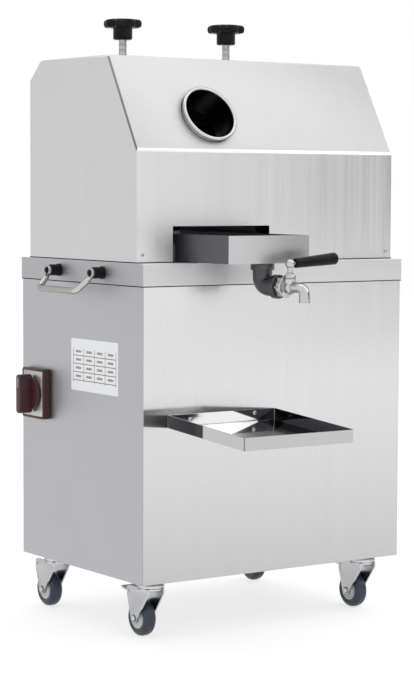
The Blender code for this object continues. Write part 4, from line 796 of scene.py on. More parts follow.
@dataclass
class Finishes:
    """Every finish on the machine, built once."""

    def __post_init__(self) -> None:
        """Build the materials."""
        # The panel carries painted shade by height, darker towards the floor.
        self.panel = SheetSteel("brushed_panel", (0.73, 0.73, 0.73), 0.30, smudge=0.02, mirror=0.75,
                                height_shade=(0.72, 1.12)).material()
        # Painted light and shade: side, hood, hood front, slope and deck side are lit and shaded copies of one
        # brushed steel, each with its own colour.
        self.side = SheetSteel("brushed_side", (0.475, 0.47, 0.495), 0.42).material()
        self.hood = SheetSteel("brushed_hood", (0.61, 0.61, 0.62), 0.36).material()
        self.hood_front_painted_light = SheetSteel("brushed_hood_front", (0.80, 0.80, 0.80), 0.36).material()
        self.slope = SheetSteel("brushed_slope", (0.63, 0.63, 0.635), 0.60).material()
        self.deck = SheetSteel("brushed_deck", (0.73, 0.73, 0.74), 0.46, Grain.ALONG_X).material()
        self.deck_side_painted_shade = SheetSteel("brushed_deck_side", (0.47, 0.47, 0.49), 0.50, Grain.ALONG_Y).material()
        # Painted shade: a near-black copy of the steel for the rounded folds, standing in for the dark line of
        # shade along each bend.
        self.fold = SheetSteel("sheet_fold", (0.20, 0.20, 0.21), 0.30).material()
        self.tray = SheetSteel("tray_steel", (0.58, 0.58, 0.59), 0.34, Grain.ALONG_Y, 0.06).material()
        # Painted shade: a dull dark grey for the juice tray's outer left side, which is the same steel as the rest
        # of the tray.
        self.tray_side_painted_shade = Moulded("tray_outer_side", (0.115, 0.115, 0.130), 0.60, shine=0.2).material()
        # The cup tray's mirror carries a painted dark reflection and painted shade.
        self.mirror = MirrorWithPaintedReflection("mirror_tray").material()
        # The polished steel carries strong painted shade towards its turned-away edges.
        self.polished = BrightMetal("polished_steel_skin", (0.60, 0.60, 0.61), 0.14, rim=0.95).material()
        self.chrome = BrightMetal("chrome_plate", (0.57, 0.56, 0.55), 0.14).material()
        self.zinc = BrightMetal("zinc_plate", (0.68, 0.68, 0.70), 0.20).material()
        # Painted shade: near-black metal for the inside of the feed tube, where there is only shade.
        self.bore = BrightMetal("tube_bore", (0.05, 0.05, 0.05), 0.30).material()
        self.silver = BrightMetal("silver_plate", (0.66, 0.66, 0.68), 0.34).material()
        self.label = RuledLabel("ruled_label").material()
        self.cast_grey = Moulded("elbow_casting", (0.085, 0.085, 0.09), 0.28, 0.9, 420.0, 0.35,
                                 0.3).material()
        self.cast = Moulded("grey_casting", (0.23, 0.23, 0.24), 0.46, 0.9, 500.0, 0.3, 0.3).material()
        self.machined = BrightMetal("machined_steel", (0.50, 0.50, 0.51), 0.24).material()
        self.paint = Moulded("dark_enamel", (0.08, 0.10, 0.12), 0.42, 0.1, 300.0, 0.15, 0.2, 0.2).material()
        self.black = Moulded("glossy_black", (0.006, 0.006, 0.007), 0.30, shine=0.12).material()
        self.satin_black = Moulded("satin_black", (0.007, 0.007, 0.008), 0.40, depth=0.12,
                                   shine=0.12).material()
        # Painted shade: near-black for the strips that stand in for the shaded gaps under the skirt and the hood.
        self.painted_shade_strip = Moulded("dark_gasket", (0.015, 0.015, 0.016), 0.70, shine=0.1).material()
        self.brown = Moulded("brown_switch", (0.060, 0.020, 0.022), 0.34, shine=0.3).material()
        self.tyre = Moulded("tyre_rubber", (0.020, 0.034, 0.058), 0.34, size=700.0, depth=0.1).material()
        self.hub = Moulded("hub_plastic", (0.66, 0.68, 0.70), 0.40).material()


# Repeats grown by geometry nodes


GROWN = {"Geometry": 'Geometry'}
FINISH = {"Finish": ('Material', None)}


def close_tree(w: Wiring, given: NodeOutputs, out: Node,
               geometry: NodeSocket) -> NodeTree:
    """End a tree: realise its instances and set the finish.

    Args:
        w: the tree's wiring.
        given: its given sockets, with one named Finish.
        out: its output node.
        geometry: what was grown.

    Returns:
        The finished tree.
    """
    solid = w.wire('GeometryNodeRealizeInstances', {"Geometry": geometry})
    w.feed(out, {0: w.wire('GeometryNodeSetMaterial', {"Geometry": solid, "Material": given["Finish"]})})
    return w.tree


def copies(w: Wiring, points: NodeSocket, head: NodeSocket, pose: NodeSocket) -> NodeSocket:
    """Copies of one head on points, each turned by a pose."""
    form = w.node('GeometryNodeObjectInfo', {"Object": head}).outputs["Geometry"]
    return w.wire('GeometryNodeInstanceOnPoints', {"Points": points, "Instance": form, "Rotation": pose})


def scatter_tree() -> NodeTree:
    """Heads set on points, each along its point's facing and turned by a random angle.

    Returns:
        A tree with Geometry, Head, Finish, Twist and Seed in.
    """
    w, given, out = new_tree('GeometryNodeTree', "scatter", {
        "Geometry": ('Geometry', None), "Head": ('Object', None), **FINISH, "Twist": ('Float', 0.0),
        "Seed": ('Int', 7)}, GROWN)
    facing = w.wire('GeometryNodeInputNamedAttribute', {"Name": "facing"}, data_type='FLOAT_VECTOR')
    aim = w.wire('FunctionNodeAlignRotationToVector', {"Vector": facing}, axis='Z')
    chance = w.node('FunctionNodeRandomValue', {3: given["Twist"], "Seed": given["Seed"]}, data_type='FLOAT')
    spin = w.wire('FunctionNodeAxisAngleToRotation', {"Axis": (0, 0, 1), "Angle": chance.outputs[1]})
    pose = w.wire('FunctionNodeRotateRotation', {0: aim, 1: spin}, rotation_space='LOCAL')
    points = w.wire('GeometryNodeMeshToPoints', {"Mesh": given["Geometry"]})
    return close_tree(w, given, out, copies(w, points, given["Head"], pose))


def ring_tree() -> NodeTree:
    """Copies of one head set round a circle, its x pointing outwards.

    Returns:
        A tree with Head, Finish, Count and Radius in.
    """
    w, given, out = new_tree('GeometryNodeTree', "ring", {
        "Head": ('Object', None), **FINISH, "Count": ('Int', 8), "Radius": ('Float', 0.05)}, GROWN)
    circle = w.wire('GeometryNodeMeshCircle', {"Vertices": given["Count"], "Radius": given["Radius"]})
    place = w.wire('GeometryNodeInputPosition')
    level = w.wire('FunctionNodeAlignRotationToVector', {"Vector": place}, axis='X', pivot_axis='Z')
    return close_tree(w, given, out, copies(w, circle, given["Head"], level))


def thread_tree() -> NodeTree:
    """A screw thread: a small square section swept along a spiral.

    Returns:
        A tree with Radius, Pitch, Turns, Depth and Finish in.
    """
    w, given, out = new_tree('GeometryNodeTree', "thread", {
        "Radius": ('Float', 0.006), "Pitch": ('Float', 0.00175), "Turns": ('Float', 10.0),
        "Depth": ('Float', 0.0008), **FINISH}, GROWN)
    spiral = w.wire('GeometryNodeCurveSpiral', {
        "Resolution": 28, "Rotations": given["Turns"], "Start Radius": given["Radius"],
        "End Radius": given["Radius"], "Height": w.product(given["Turns"], given["Pitch"]),
        "Reverse": False})
    section = w.wire('GeometryNodeCurvePrimitiveCircle', {"Resolution": 4, "Radius": given["Depth"]},
                     mode='RADIUS')
    ridge = w.wire('GeometryNodeCurveToMesh', {"Curve": spiral, "Profile Curve": section, "Fill Caps": True})
    return close_tree(w, given, out, ridge)


TREES = {"scatter": scatter_tree(), "ring": ring_tree(), "thread": thread_tree()}


def grown(name: str, tree: str, values: dict[str, object], source: Mesh | None = None) -> Object:
    """Grow a piece with one of the geometry trees and keep it as a plain mesh.

    Args:
        name: the piece's name.
        tree: the tree's name.
        values: the tree's inputs by name.
        source: the mesh it starts from, if it needs one.

    Returns:
        The grown piece.
    """
    group = TREES[tree]
    item = linked(name, source or bpy.data.meshes.new(name))
    grow = item.modifiers.new("grow", 'NODES')
    grow.node_group = group
    for socket in group.interface.items_tree:
        if socket.item_type == 'SOCKET' and socket.in_out == 'INPUT' and socket.name in values:
            grow[socket.identifier] = values[socket.name]
    return settled(item)


def dots(name: str, places: Sequence[Place], facing: Place) -> Mesh:
    """Points that all face one way.

    Args:
        name: the mesh's name.
        places: where the points lie.
        facing: the direction they face.

    Returns:
        A mesh of loose points with a facing attribute.
    """
    data = bpy.data.meshes.new(name)
    data.from_pydata([tuple(place) for place in places], [], [])
    attribute = data.attributes.new("facing", 'FLOAT_VECTOR', 'POINT')
    for entry in attribute.data:
        entry.vector = facing
    return data


class Head(Enum):
    """The kinds of fastener on the machine: shape, radius and height in millimetres."""

    PAN = ("cross", 3.4, 2.0)
    SMALL_PAN = ("cross", 2.6, 1.5)
    RIVET = ("dome", 2.0, 0.9)
    HEX = ("hex", 6.2, 5.0)
    SMALL_HEX = ("hex", 4.6, 3.4)
    CAP = ("socket", 4.5, 5.0)
    AXLE = ("hex", 4.2, 2.6)

    def shape(self) -> Object:
        """Model the head once, standing on z = 0."""
        kind, radius, height = self.value
        r, h = radius * MM, height * MM
        name = "head_" + self.name.lower()
        dome = [(0, h), (0.45 * r, 0.95 * h), (0.8 * r, 0.66 * h), (r, 0.15 * h), (r, 0), (0, 0)]
        if kind == "dome":
            return turned(name, dome, 16)
        if kind == "cross":
            made = turned(name, dome, 24)
            bars = [placed(slab(name + "_slot", rectangle(*size), h), (0, 0, h))
                    for size in ((1.1 * r, 0.24 * r), (0.24 * r, 1.1 * r))]
            return carve(made, bars)
        if kind == "hex":
            return turned(name, [(0, h), (0.78 * r, h), (1.02 * r, h - 0.16 * r), (1.16 * r, h - 0.3 * r),
                                 (1.16 * r, 0.5 * MM), (1.3 * r, 0.5 * MM), (1.3 * r, 0), (0, 0)], 48,
                          six_sided(r, 1.17 * r))
        rim = softened([(0.62 * r, h), (r, h), (r, 0), (0, 0)], 0.5 * MM, 2)
        return turned(name, [(0, 0.5 * h), (0.55 * r, 0.5 * h)] + rim, 36,
                      six_sided(0.5 * r, 0.6 * r, 1.16))


def fasteners(name: str, head: Head, places: Sequence[Place], facing: Place,
              finish: Material, slot: Slot, body: str = "frame") -> Object:
    """Set one kind of fastener on a list of places.

    Args:
        name: the piece's name.
        head: the kind of fastener.
        places: where the heads sit.
        facing: the direction that they stick out in.
        finish: their finish.
        slot: the record's material slot.
        body: the body that they ride on.

    Returns:
        The finished piece.
    """
    form = head.shape()
    values = {"Head": form, "Finish": finish, "Twist": math.pi}
    item = grown(name, "scatter", values, dots(name, places, facing))
    bpy.data.objects.remove(form, do_unlink=True)
    return seat(item, None, slot, body=body)


def spot(x: float, y: float, z: float) -> Vector:
    """A place given in millimetres right of, behind and above the cabinet's low front left corner."""
    return CORNER + Vector((x, y, z)) * MM


def middle(node: str) -> Vector:
    """The middle of a frame node's box."""
    low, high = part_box(node)
    return (low + high) / 2


def foot(node: str) -> Vector:
    """The middle of a frame node's underside."""
    centre = middle(node)
    return Vector((centre.x, centre.y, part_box(node)[0].z))


def loft(name: str, line: Sequence[Vector], radii: Sequence[float], sides: int = 28,
         smooth: float = 40.0) -> Object:
    """A round bar of changing radius along a line, closed at both ends.

    Args:
        name: the object's name.
        line: the centreline.
        radii: the radius at each point of it.
        sides: points round the bar.
        smooth: edges sharper than this many degrees stay sharp.

    Returns:
        The new object.
    """
    form = bmesh.new()
    rows = []
    side = None
    for i, here in enumerate(line):
        ahead = (line[min(i + 1, len(line) - 1)] - line[max(i - 1, 0)]).normalized()
        side = (ahead.orthogonal() if side is None else side - ahead * side.dot(ahead)).normalized()
        over = ahead.cross(side)
        turns = (2 * math.pi * k / sides for k in range(sides))
        arms = (side * math.cos(a) + over * math.sin(a) for a in turns)
        rows.append([form.verts.new(here + radii[i] * arm) for arm in arms])
    fill_bands(form, rows)
    form.faces.new(rows[0])
    form.faces.new(rows[-1])
    bmesh.ops.recalc_face_normals(form, faces=form.faces)
    return from_form(name, form, smooth)


def bent(points: Sequence[Vector], radius: float, steps: int = 8) -> list[Vector]:
    """Round the corners of a line in space."""
    made = [points[0]]
    for before, corner, after in zip(points, points[1:], points[2:]):
        first = corner + (before - corner).normalized() * min(radius, 0.49 * (before - corner).length)
        last = corner + (after - corner).normalized() * min(radius, 0.49 * (after - corner).length)
        made += rounded(first, corner, last, steps)
    return made + [points[-1]]


# Sub-assemblies


def standing(outward: Vector, up: Vector = Vector((0, 0, 1))) -> Matrix:
    """A turn that points a shape's z outward and its y as near up as it can."""
    z = outward.normalized()
    x = up.cross(z).normalized()
    return Matrix((x, z.cross(x), z)).transposed()


def dress(node: str, finish: Material, slot: Slot, edge: float = 0.4, segments: int = 2) -> Object:
    """Refine a frame node, dress it and let it stand for the node.

    Args:
        node: the frame node.
        finish: its finish.
        slot: the record's material slot.
        edge: width of its soft edges in millimetres.
        segments: steps in them.

    Returns:
        The dressed piece.
    """
    return seat(refined(node, edge * MM, segments), finish, slot, [node])


def faces_aside(normal: Vector) -> bool:
    """Whether a face looks to the left or the right."""
    return abs(normal.x) > 0.7


def second_finish(item: Object, finish: Material, pick: Callable[[object], bool]) -> None:
    """Give the faces that are picked a finish of their own."""
    item.data.materials.append(finish)
    for face in item.data.polygons:
        if pick(face):
            face.material_index = len(item.data.materials) - 1


def on_fold(normal: Vector) -> bool:
    """Whether a face belongs to an upright fold between two panels."""
    return abs(normal.z) < 0.4 and 0.3 < abs(normal.x) < 0.95


def faces_up(normal: Vector) -> bool:
    """Whether a face looks up or up to the front, and is no fold and no upright panel."""
    return normal.z > 0.3 and abs(normal.x) < 0.3 and normal.y > -0.97


def in_mm(profile: Sequence[Point]) -> list[Point]:
    """Turn millimetres into metres."""
    return [(a * MM, b * MM) for a, b in profile]


def both_sides(section: Sequence[Point]) -> list[Point]:
    """A ring's section from its one half in millimetres, mirrored over the middle."""
    return in_mm([*section, *((radius, -along) for radius, along in reversed(section))])


@dataclass
class Cabinet:
    """Cabinet of folded sheet with its deck, bed, louvred back and side label; sizes in millimetres."""

    edge: float = 0.9
    label_low: Point = (64.4, 260.7)
    label_high: Point = (193.2, 336.5)
    label_sheet: float = 0.35
    # Height of the dark strips that paint the shade in the gaps under the skirt and the hood.
    dark_band: float = 1.2
    shade_strip_rings: tuple[tuple[str, str, str, float, float], ...] = (
        ("skirt_seal", "cabinet_shell", "deck_plate", 1.1, 1.3), ("hood_seal", "hood", "hood", 0.7, 0.1))
    screw_inset: float = 8.0
    screw_columns: int = 4
    gland_collar: float = 6.0
    louvre_length: float = 146.0
    louvre_rows: int = 9
    louvre_pitch: float = 15.0
    louvre_base: float = 190.0
    louvre_offset: float = 111.5
    louvre_section: tuple[Point, ...] = (
        (-5.5, 0), (-4.4, 2.2), (-2.0, 3.9), (1.0, 4.7), (3.6, 4.9), (3.6, 4.0), (1.0, 3.8), (-1.4, 3.0),
        (-3.4, 1.5), (-4.2, 0))

    def build(self, f: Finishes) -> None:
        """Make every piece of the cabinet."""
        shell = dress("cabinet_shell", f.panel, Slot.BRUSHED, self.edge, 3)
        # Painted shade: the side faces get a darker copy of the steel.
        second_finish(shell, f.side, lambda face: faces_aside(face.normal))
        # Painted shade on the upright folds.
        second_finish(shell, f.fold, lambda face: on_fold(face.normal))
        deck = dress("deck_plate", f.deck, Slot.BRUSHED, 0.7, 3)
        # Painted shade: the deck's side faces get a darker copy of the steel.
        second_finish(deck, f.deck_side_painted_shade, lambda face: faces_aside(face.normal))
        # Painted shade: dark strips stand in for the shaded gaps under the skirt and the hood.
        self.shade_strips(f)
        for node in ("bed_plate", "bed_rail_left", "bed_rail_right"):
            dress(node, f.paint, Slot.PAINT, 0.6)
        self.back(f)
        self.label(f)

    def shade_strips(self, f: Finishes) -> None:
        """Dark strips that paint the shade of the gaps where the skirt meets the cabinet and the hood meets the
        deck.

        Each ring has its name, the node it runs round, the node it starts under, and how far it stands
        out of the one and starts below the other.
        """
        for name, node, upper, proud, drop in self.shade_strip_rings:
            first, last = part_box(node)
            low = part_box(upper)[0].z - drop * MM
            width, depth = last.x - first.x, last.y - first.y
            outer = rectangle(width + 2 * proud * MM, depth + 2 * proud * MM)
            ring = slab(name, outer, self.dark_band * MM, 0.2 * MM)
            inner = slab("inside", rectangle(width - 0.2 * MM, depth - 0.2 * MM), 3 * self.dark_band * MM)
            ring = carve(ring, [inner])
            placed(ring, ((first.x + last.x) / 2, (first.y + last.y) / 2, low + self.dark_band / 2 * MM))
            # Painted shade: a near-black strip where there is only a shaded gap.
            seat(ring, f.painted_shade_strip, Slot.BLACK)

    def back(self, f: Finishes) -> None:
        """The rear panel with pressed louvres, its screws and the gland."""
        dress("rear_panel", f.panel, Slot.BRUSHED, 0.3)
        low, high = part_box("rear_panel")
        louvre = slab("louvre", in_mm(self.louvre_section), self.louvre_length * MM, 0.2 * MM)
        placed(louvre, (0, 0, 0), Axis.X)
        places = [(side * self.louvre_offset * MM, high.y - 0.1 * MM,
                   CORNER.z + (self.louvre_base + row * self.louvre_pitch) * MM)
                  for side in (-1, 1) for row in range(self.louvre_rows)]
        hoods = grown("louvres", "scatter", {"Head": louvre, "Finish": f.panel, "Twist": 0.0},
                      dots("louvres", places, (0, 1, 0)))
        bpy.data.objects.remove(louvre, do_unlink=True)
        seat(hoods, None, Slot.BRUSHED)
        edge, gaps = self.screw_inset * MM, self.screw_columns - 1
        across = [low.x + edge + k * (high.x - low.x - 2 * edge) / gaps for k in range(self.screw_columns)]
        heads = [(x, high.y, z) for x in across for z in (low.z + edge, high.z - edge)]
        heads += [(x, high.y, (low.z + high.z) / 2) for x in (across[0], across[-1])]
        fasteners("rear_panel_screws", Head.PAN, heads, (0, 1, 0), f.zinc, Slot.CHROME)
        self.gland(f)

    def gland(self, f: Finishes) -> None:
        """The cable gland: a round collar and a domed, ribbed nut."""
        centre = middle("cable_gland")
        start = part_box("cable_gland")[0].y + self.gland_collar * MM
        profile = in_mm([(4.5, 22), (6.8, 22), (8.2, 20.5), (9.2, 17), (9.4, 9.8), (11.9, 8.8), (11.9, 1.8),
                         (9.2, 1.8), (9.2, 0), (11.9, 0), (11.9, -6), (4.5, -6)])
        nut = turned("cable_gland_piece", softened(profile, 0.8 * MM, 3, True), 96,
                     ribbed(9.35 * MM, 9.6 * MM, 16), ring=True)
        placed(nut, (centre.x, start, centre.z), standing(Vector((0, 1, 0))))
        seat(nut, f.satin_black, Slot.BLACK, ["cable_gland"])

    def label(self, f: Finishes) -> None:
        """A plain ruled label plate on the left side."""
        (y0, z0), (y1, z1) = self.label_low, self.label_high
        plate = slab("label_plate", panel(y1 - y0, z1 - z0, 3, 4), self.label_sheet * MM, 0.08 * MM)
        centre = spot(-self.label_sheet / 2 - 0.02, (y0 + y1) / 2, (z0 + z1) / 2)
        seat(placed(plate, centre, Axis.X), f.label, Slot.POLISHED)


def ribbed(low: float, high: float, count: int) -> Outline:
    """An outline with small ribs at radii between low and high."""

    def outline(radius: float, angle: float) -> float:
        """Ribs where the radius is in the band, round elsewhere."""
        if not low <= radius <= high:
            return radius
        return radius * (1 - 0.035 * (0.5 - 0.5 * math.cos(count * angle)))

    return outline


@dataclass
class Hood:
    """The sheet hood with its feed tube; sizes in millimetres."""

    edge: float = 1.0
    tube_across: float = 139.8
    tube_up: float = 56.7
    front_rise: float = 157.8
    slope_run: float = 75.6
    slope_rise: float = 134.2
    outer: float = 42.5
    wall: float = 2.0
    rim: float = 2.7
    rim_steps: int = 20
    out: float = 10.0
    inside: float = 44.0
    bore_margin: float = 0.3
    bore_start: float = 2.5
    foot_screws: tuple[Point, ...] = ((12.0, 462.0), (448.0, 462.0))

    def build(self, f: Finishes) -> None:
        """Make the hood and the tube."""
        hood = dress("hood", f.hood, Slot.BRUSHED, self.edge, 3)
        # Painted light and shade: the front faces get a brighter copy of the steel, the sloping top a copy of its
        # own.
        second_finish(hood, f.hood_front_painted_light, lambda face: face.normal.y < -0.97)
        second_finish(hood, f.slope, lambda face: faces_up(face.normal))
        # Painted shade on the hood's folds.
        second_finish(hood, f.fold, lambda face: on_fold(face.normal))
        self.tube(f)
        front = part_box("hood")[0].y
        heads = [(head.x, front, head.z) for head in (spot(x, 0, z) for x, z in self.foot_screws)]
        fasteners("hood_foot_screws", Head.SMALL_PAN, heads, (0, -1, 0), f.machined, Slot.CHROME)

    def tube(self, f: Finishes) -> None:
        """The feed tube with its rolled rim: bright outside, with painted shade inside, where its bore is near
        black.
        """
        slope = Vector((0, self.slope_run, self.slope_rise)).normalized()
        outward = Vector((0, -slope.z, slope.y))
        low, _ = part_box("hood")
        fold = Vector((CORNER.x + self.tube_across * MM, low.y, low.z + self.front_rise * MM))
        middle_r = self.outer - self.wall / 2
        last = math.pi - math.asin(self.wall / 2 / self.rim)
        arc = [(middle_r + self.rim * math.sin(t), self.out + self.rim * (math.cos(t) - 1))
               for t in (-last + 2 * last * k / self.rim_steps for k in range(self.rim_steps + 1))]
        profile = in_mm(arc + [(self.outer, -self.inside), (self.outer - self.wall, -self.inside)])
        tube = turned("feed_tube_piece", profile, 96, ring=True)
        bore, mouth = (self.outer - self.wall + self.bore_margin) * MM, (self.out - self.bore_start) * MM
        points = tube.data.vertices
        deep = {point.index for point in points if point.co.xy.length < bore and point.co.z < mouth}
        inner = {face.index for face in tube.data.polygons if deep.issuperset(face.vertices)}
        placed(tube, fold + slope * self.tube_up * MM, standing(outward))
        seat(tube, f.polished, Slot.POLISHED, ["feed_tube"])
        # Painted shade: the bore's faces get the near-black metal.
        second_finish(tube, f.bore, lambda face: face.index in inner)


@dataclass
class PressScrew:
    """A pressure screw with its star knob; sizes in millimetres."""

    radius: float = 6.0
    core: float = 5.3
    pitch: float = 1.75
    chamfer: float = 1.0
    thread_rise: float = 0.12
    thread_spare: float = 0.15
    thread_end: float = 2.0
    hub: float = 14.0
    star: float = 28.0
    star_root: float = 19.0
    valley: float = 5.5
    lobes: int = 8
    hub_height: float = 17.0
    height: float = 29.5
    bore: float = 6.4
    bore_depth: float = 21.8

    def build(self, f: Finishes) -> None:
        """Make both screws and both knobs."""
        for side in ("left", "right"):
            self.screw(side, f)
            self.knob(side, f)

    def screw(self, side: str, f: Finishes) -> None:
        """The threaded rod: a chamfered core with a grown thread."""
        node = "pressure_screw_" + side
        low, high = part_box(node)
        length, start = high.z - low.z, foot(node)
        r, c = self.core * MM, self.chamfer * MM
        profile = [(0, length), (r - c, length), (r, length - c), (r, c), (r - c, 0), (0, 0)]
        core = placed(turned(node + "_core", profile, 48), start)
        thread = grown(node + "_thread", "thread", {
            "Radius": (self.core + self.thread_rise) * MM, "Pitch": self.pitch * MM,
            "Turns": (length / MM - 2 * self.thread_end) / self.pitch,
            "Depth": (self.radius - self.core - self.thread_spare) * MM, "Finish": f.chrome})
        placed(thread, start + Vector((0, 0, self.thread_end * MM)))
        seat(core, f.chrome, Slot.CHROME, [node])
        seat(thread, None, Slot.CHROME, body=BODY_OF[node])

    def lobed(self, radius: float, angle: float) -> float:
        """Keep the hub round and give the star its lobes."""
        start = self.star_root * MM
        if radius <= start:
            return radius
        wave = (0.5 - 0.5 * math.cos(self.lobes * angle)) ** 1.6
        return start + (radius - start) * (1 - self.valley * MM * wave / (self.star * MM - start))

    def knob(self, side: str, f: Finishes) -> None:
        """The moulded star knob, glossy, with a shallow dish on top."""
        node = "star_knob_" + side
        top, base, star = self.height, self.hub_height, self.star
        hub, bore, depth = self.hub, self.bore, self.bore_depth
        profile = [(0, top - 1.2), (8.6, top - 1.2), (9.6, top - 0.1), (19.6, top - 0.1),
                   (star - 2.6, top - 1.0), (star - 0.7, top - 2.7), (star, top - 4.8), (star, base + 4.2),
                   (star - 0.8, base + 1.8), (star - 2.8, base + 0.3), (19.4, base), (hub + 1.5, base),
                   (hub, base - 1.5), (hub, 1.5), (hub - 1.5, 0), (bore, 0), (bore, depth), (0, depth)]
        knob = turned(node + "_piece", in_mm(profile), 192, self.lobed, smooth=50)
        seat(placed(knob, foot(node)), f.black, Slot.BLACK, [node])


@dataclass
class PressHead:
    """Cheeks, fluted rollers, gears, gearbox and motor; sizes in millimetres."""

    roller: float = 41.0
    flutes: int = 22
    flute_depth: float = 2.2
    shaft: float = 15.0
    roller_length: float = 138.4
    flute_land: float = 0.22
    tie_rods: Point = (-78.0, 78.0)
    tie_rod: float = 8.0
    tie_rod_rise: float = 60.0
    cap_screws: Point = (-41, 41)
    bolt_ring: float = 48.0
    bolt_count: int = 6
    bolt_inset: float = 8.0

    def build(self, f: Finishes) -> None:
        """Make the whole head and its drive."""
        for node in ("cheek_left", "cheek_right", "screw_cap_left", "screw_cap_right", "top_block_left",
                     "top_block_right", "turner_bar"):
            dress(node, f.cast, Slot.CAST, 0.8, 2)
        for node in ("tie_rod_front", "tie_rod_back"):
            low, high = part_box(node)
            r, length, centre = self.tie_rod * MM, high.x - low.x, middle(node)
            bar = turned(node + "_piece", softened([(0, 0), (r, 0), (r, length), (0, length)], 0.8 * MM), 48)
            seat(placed(bar, (low.x, centre.y, centre.z), Axis.X), f.machined, Slot.POLISHED, [node])
        for node in ("front_gear", "rear_gear", "top_gear"):
            dress(node, f.machined, Slot.CAST, 0.35, 2)
        for place in ("front", "rear", "top"):
            self.press_roller(place, f)
        self.drive(f)
        self.bolts(f)

    def fluted(self, radius: float, angle: float) -> float:
        """Cut V flutes where the radius is near the roller's rim."""
        full = self.roller * MM
        if radius < 0.8 * full:
            return radius
        share = abs((angle * self.flutes / (2 * math.pi) + 0.5) % 1 - 0.5)
        return radius - self.flute_depth * MM * max(0.0, share - self.flute_land) / (0.5 - self.flute_land)

    def press_roller(self, place: str, f: Finishes) -> None:
        """One fluted roller on its shaft, with chamfered ends and a centre hole."""
        node = place + "_roller"
        low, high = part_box(node)
        axis = Vector(JOINTS[place + "_roller_spin"]["pos_m"])
        start, end = axis.x - self.roller_length / 2 * MM, axis.x + self.roller_length / 2 * MM
        r, s, c, hole = self.roller * MM, self.shaft * MM, 1 * MM, 2.5 * MM
        slope, inset = 1.2 * MM, 3.4 * MM
        profile = [(0, low.x + 3 * MM), (hole, low.x), (s - c, low.x), (s, low.x + c), (s, start),
                   (r - inset, start), (r, start + slope), (r, end - slope), (r - inset, end), (s, end),
                   (s, high.x - c), (s - c, high.x), (hole, high.x), (0, high.x - 3 * MM)]
        item = turned(node + "_piece", profile, self.flutes * 16, self.fluted, smooth=30)
        seat(placed(item, (0, axis.y, axis.z), Axis.X), f.polished, Slot.POLISHED, [node])

    def drive(self, f: Finishes) -> None:
        """Gearbox, pedestal and motor with rings of bolts."""
        dress("gearbox", f.paint, Slot.PAINT, 1.6, 3)
        dress("gearbox_pedestal", f.paint, Slot.PAINT, 0.8)
        dress("motor", f.paint, Slot.PAINT, 0.6)
        low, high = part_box("gearbox")
        axis = Vector(JOINTS["front_roller_spin"]["pos_m"])
        head = Head.SMALL_HEX.shape()
        for x, facing, name in ((low.x + self.bolt_inset * MM, -1, "inner"),
                                (high.x - self.bolt_inset * MM, 1, "outer")):
            ring = grown("gearbox_bolts_" + name, "ring", {
                "Head": head, "Finish": f.zinc, "Count": self.bolt_count, "Radius": self.bolt_ring * MM})
            placed(ring, (x, axis.y, axis.z), standing(Vector((facing, 0, 0))))
            seat(ring, None, Slot.CHROME)
        bpy.data.objects.remove(head, do_unlink=True)

    def bolts(self, f: Finishes) -> None:
        """Nuts of the tie rods and cap screws of the screw caps."""
        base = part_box("cheek_left")[0].z
        for side, facing in (("left", -1), ("right", 1)):
            low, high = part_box("cheek_" + side)
            face, kind = (low.x, Head.HEX) if facing < 0 else (high.x, Head.RIVET)
            centre = middle("cheek_" + side)
            nuts = [(face, centre.y + y * MM, base + self.tie_rod_rise * MM) for y in self.tie_rods]
            fasteners("tie_rod_nuts_" + side, kind, nuts, (facing, 0, 0), f.zinc, Slot.CHROME)
            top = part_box("screw_cap_" + side)[1].z
            caps = [(centre.x, centre.y + y * MM, top) for y in self.cap_screws]
            fasteners("cap_screws_" + side, Head.CAP, caps, (0, 0, 1), f.satin_black, Slot.CAST)


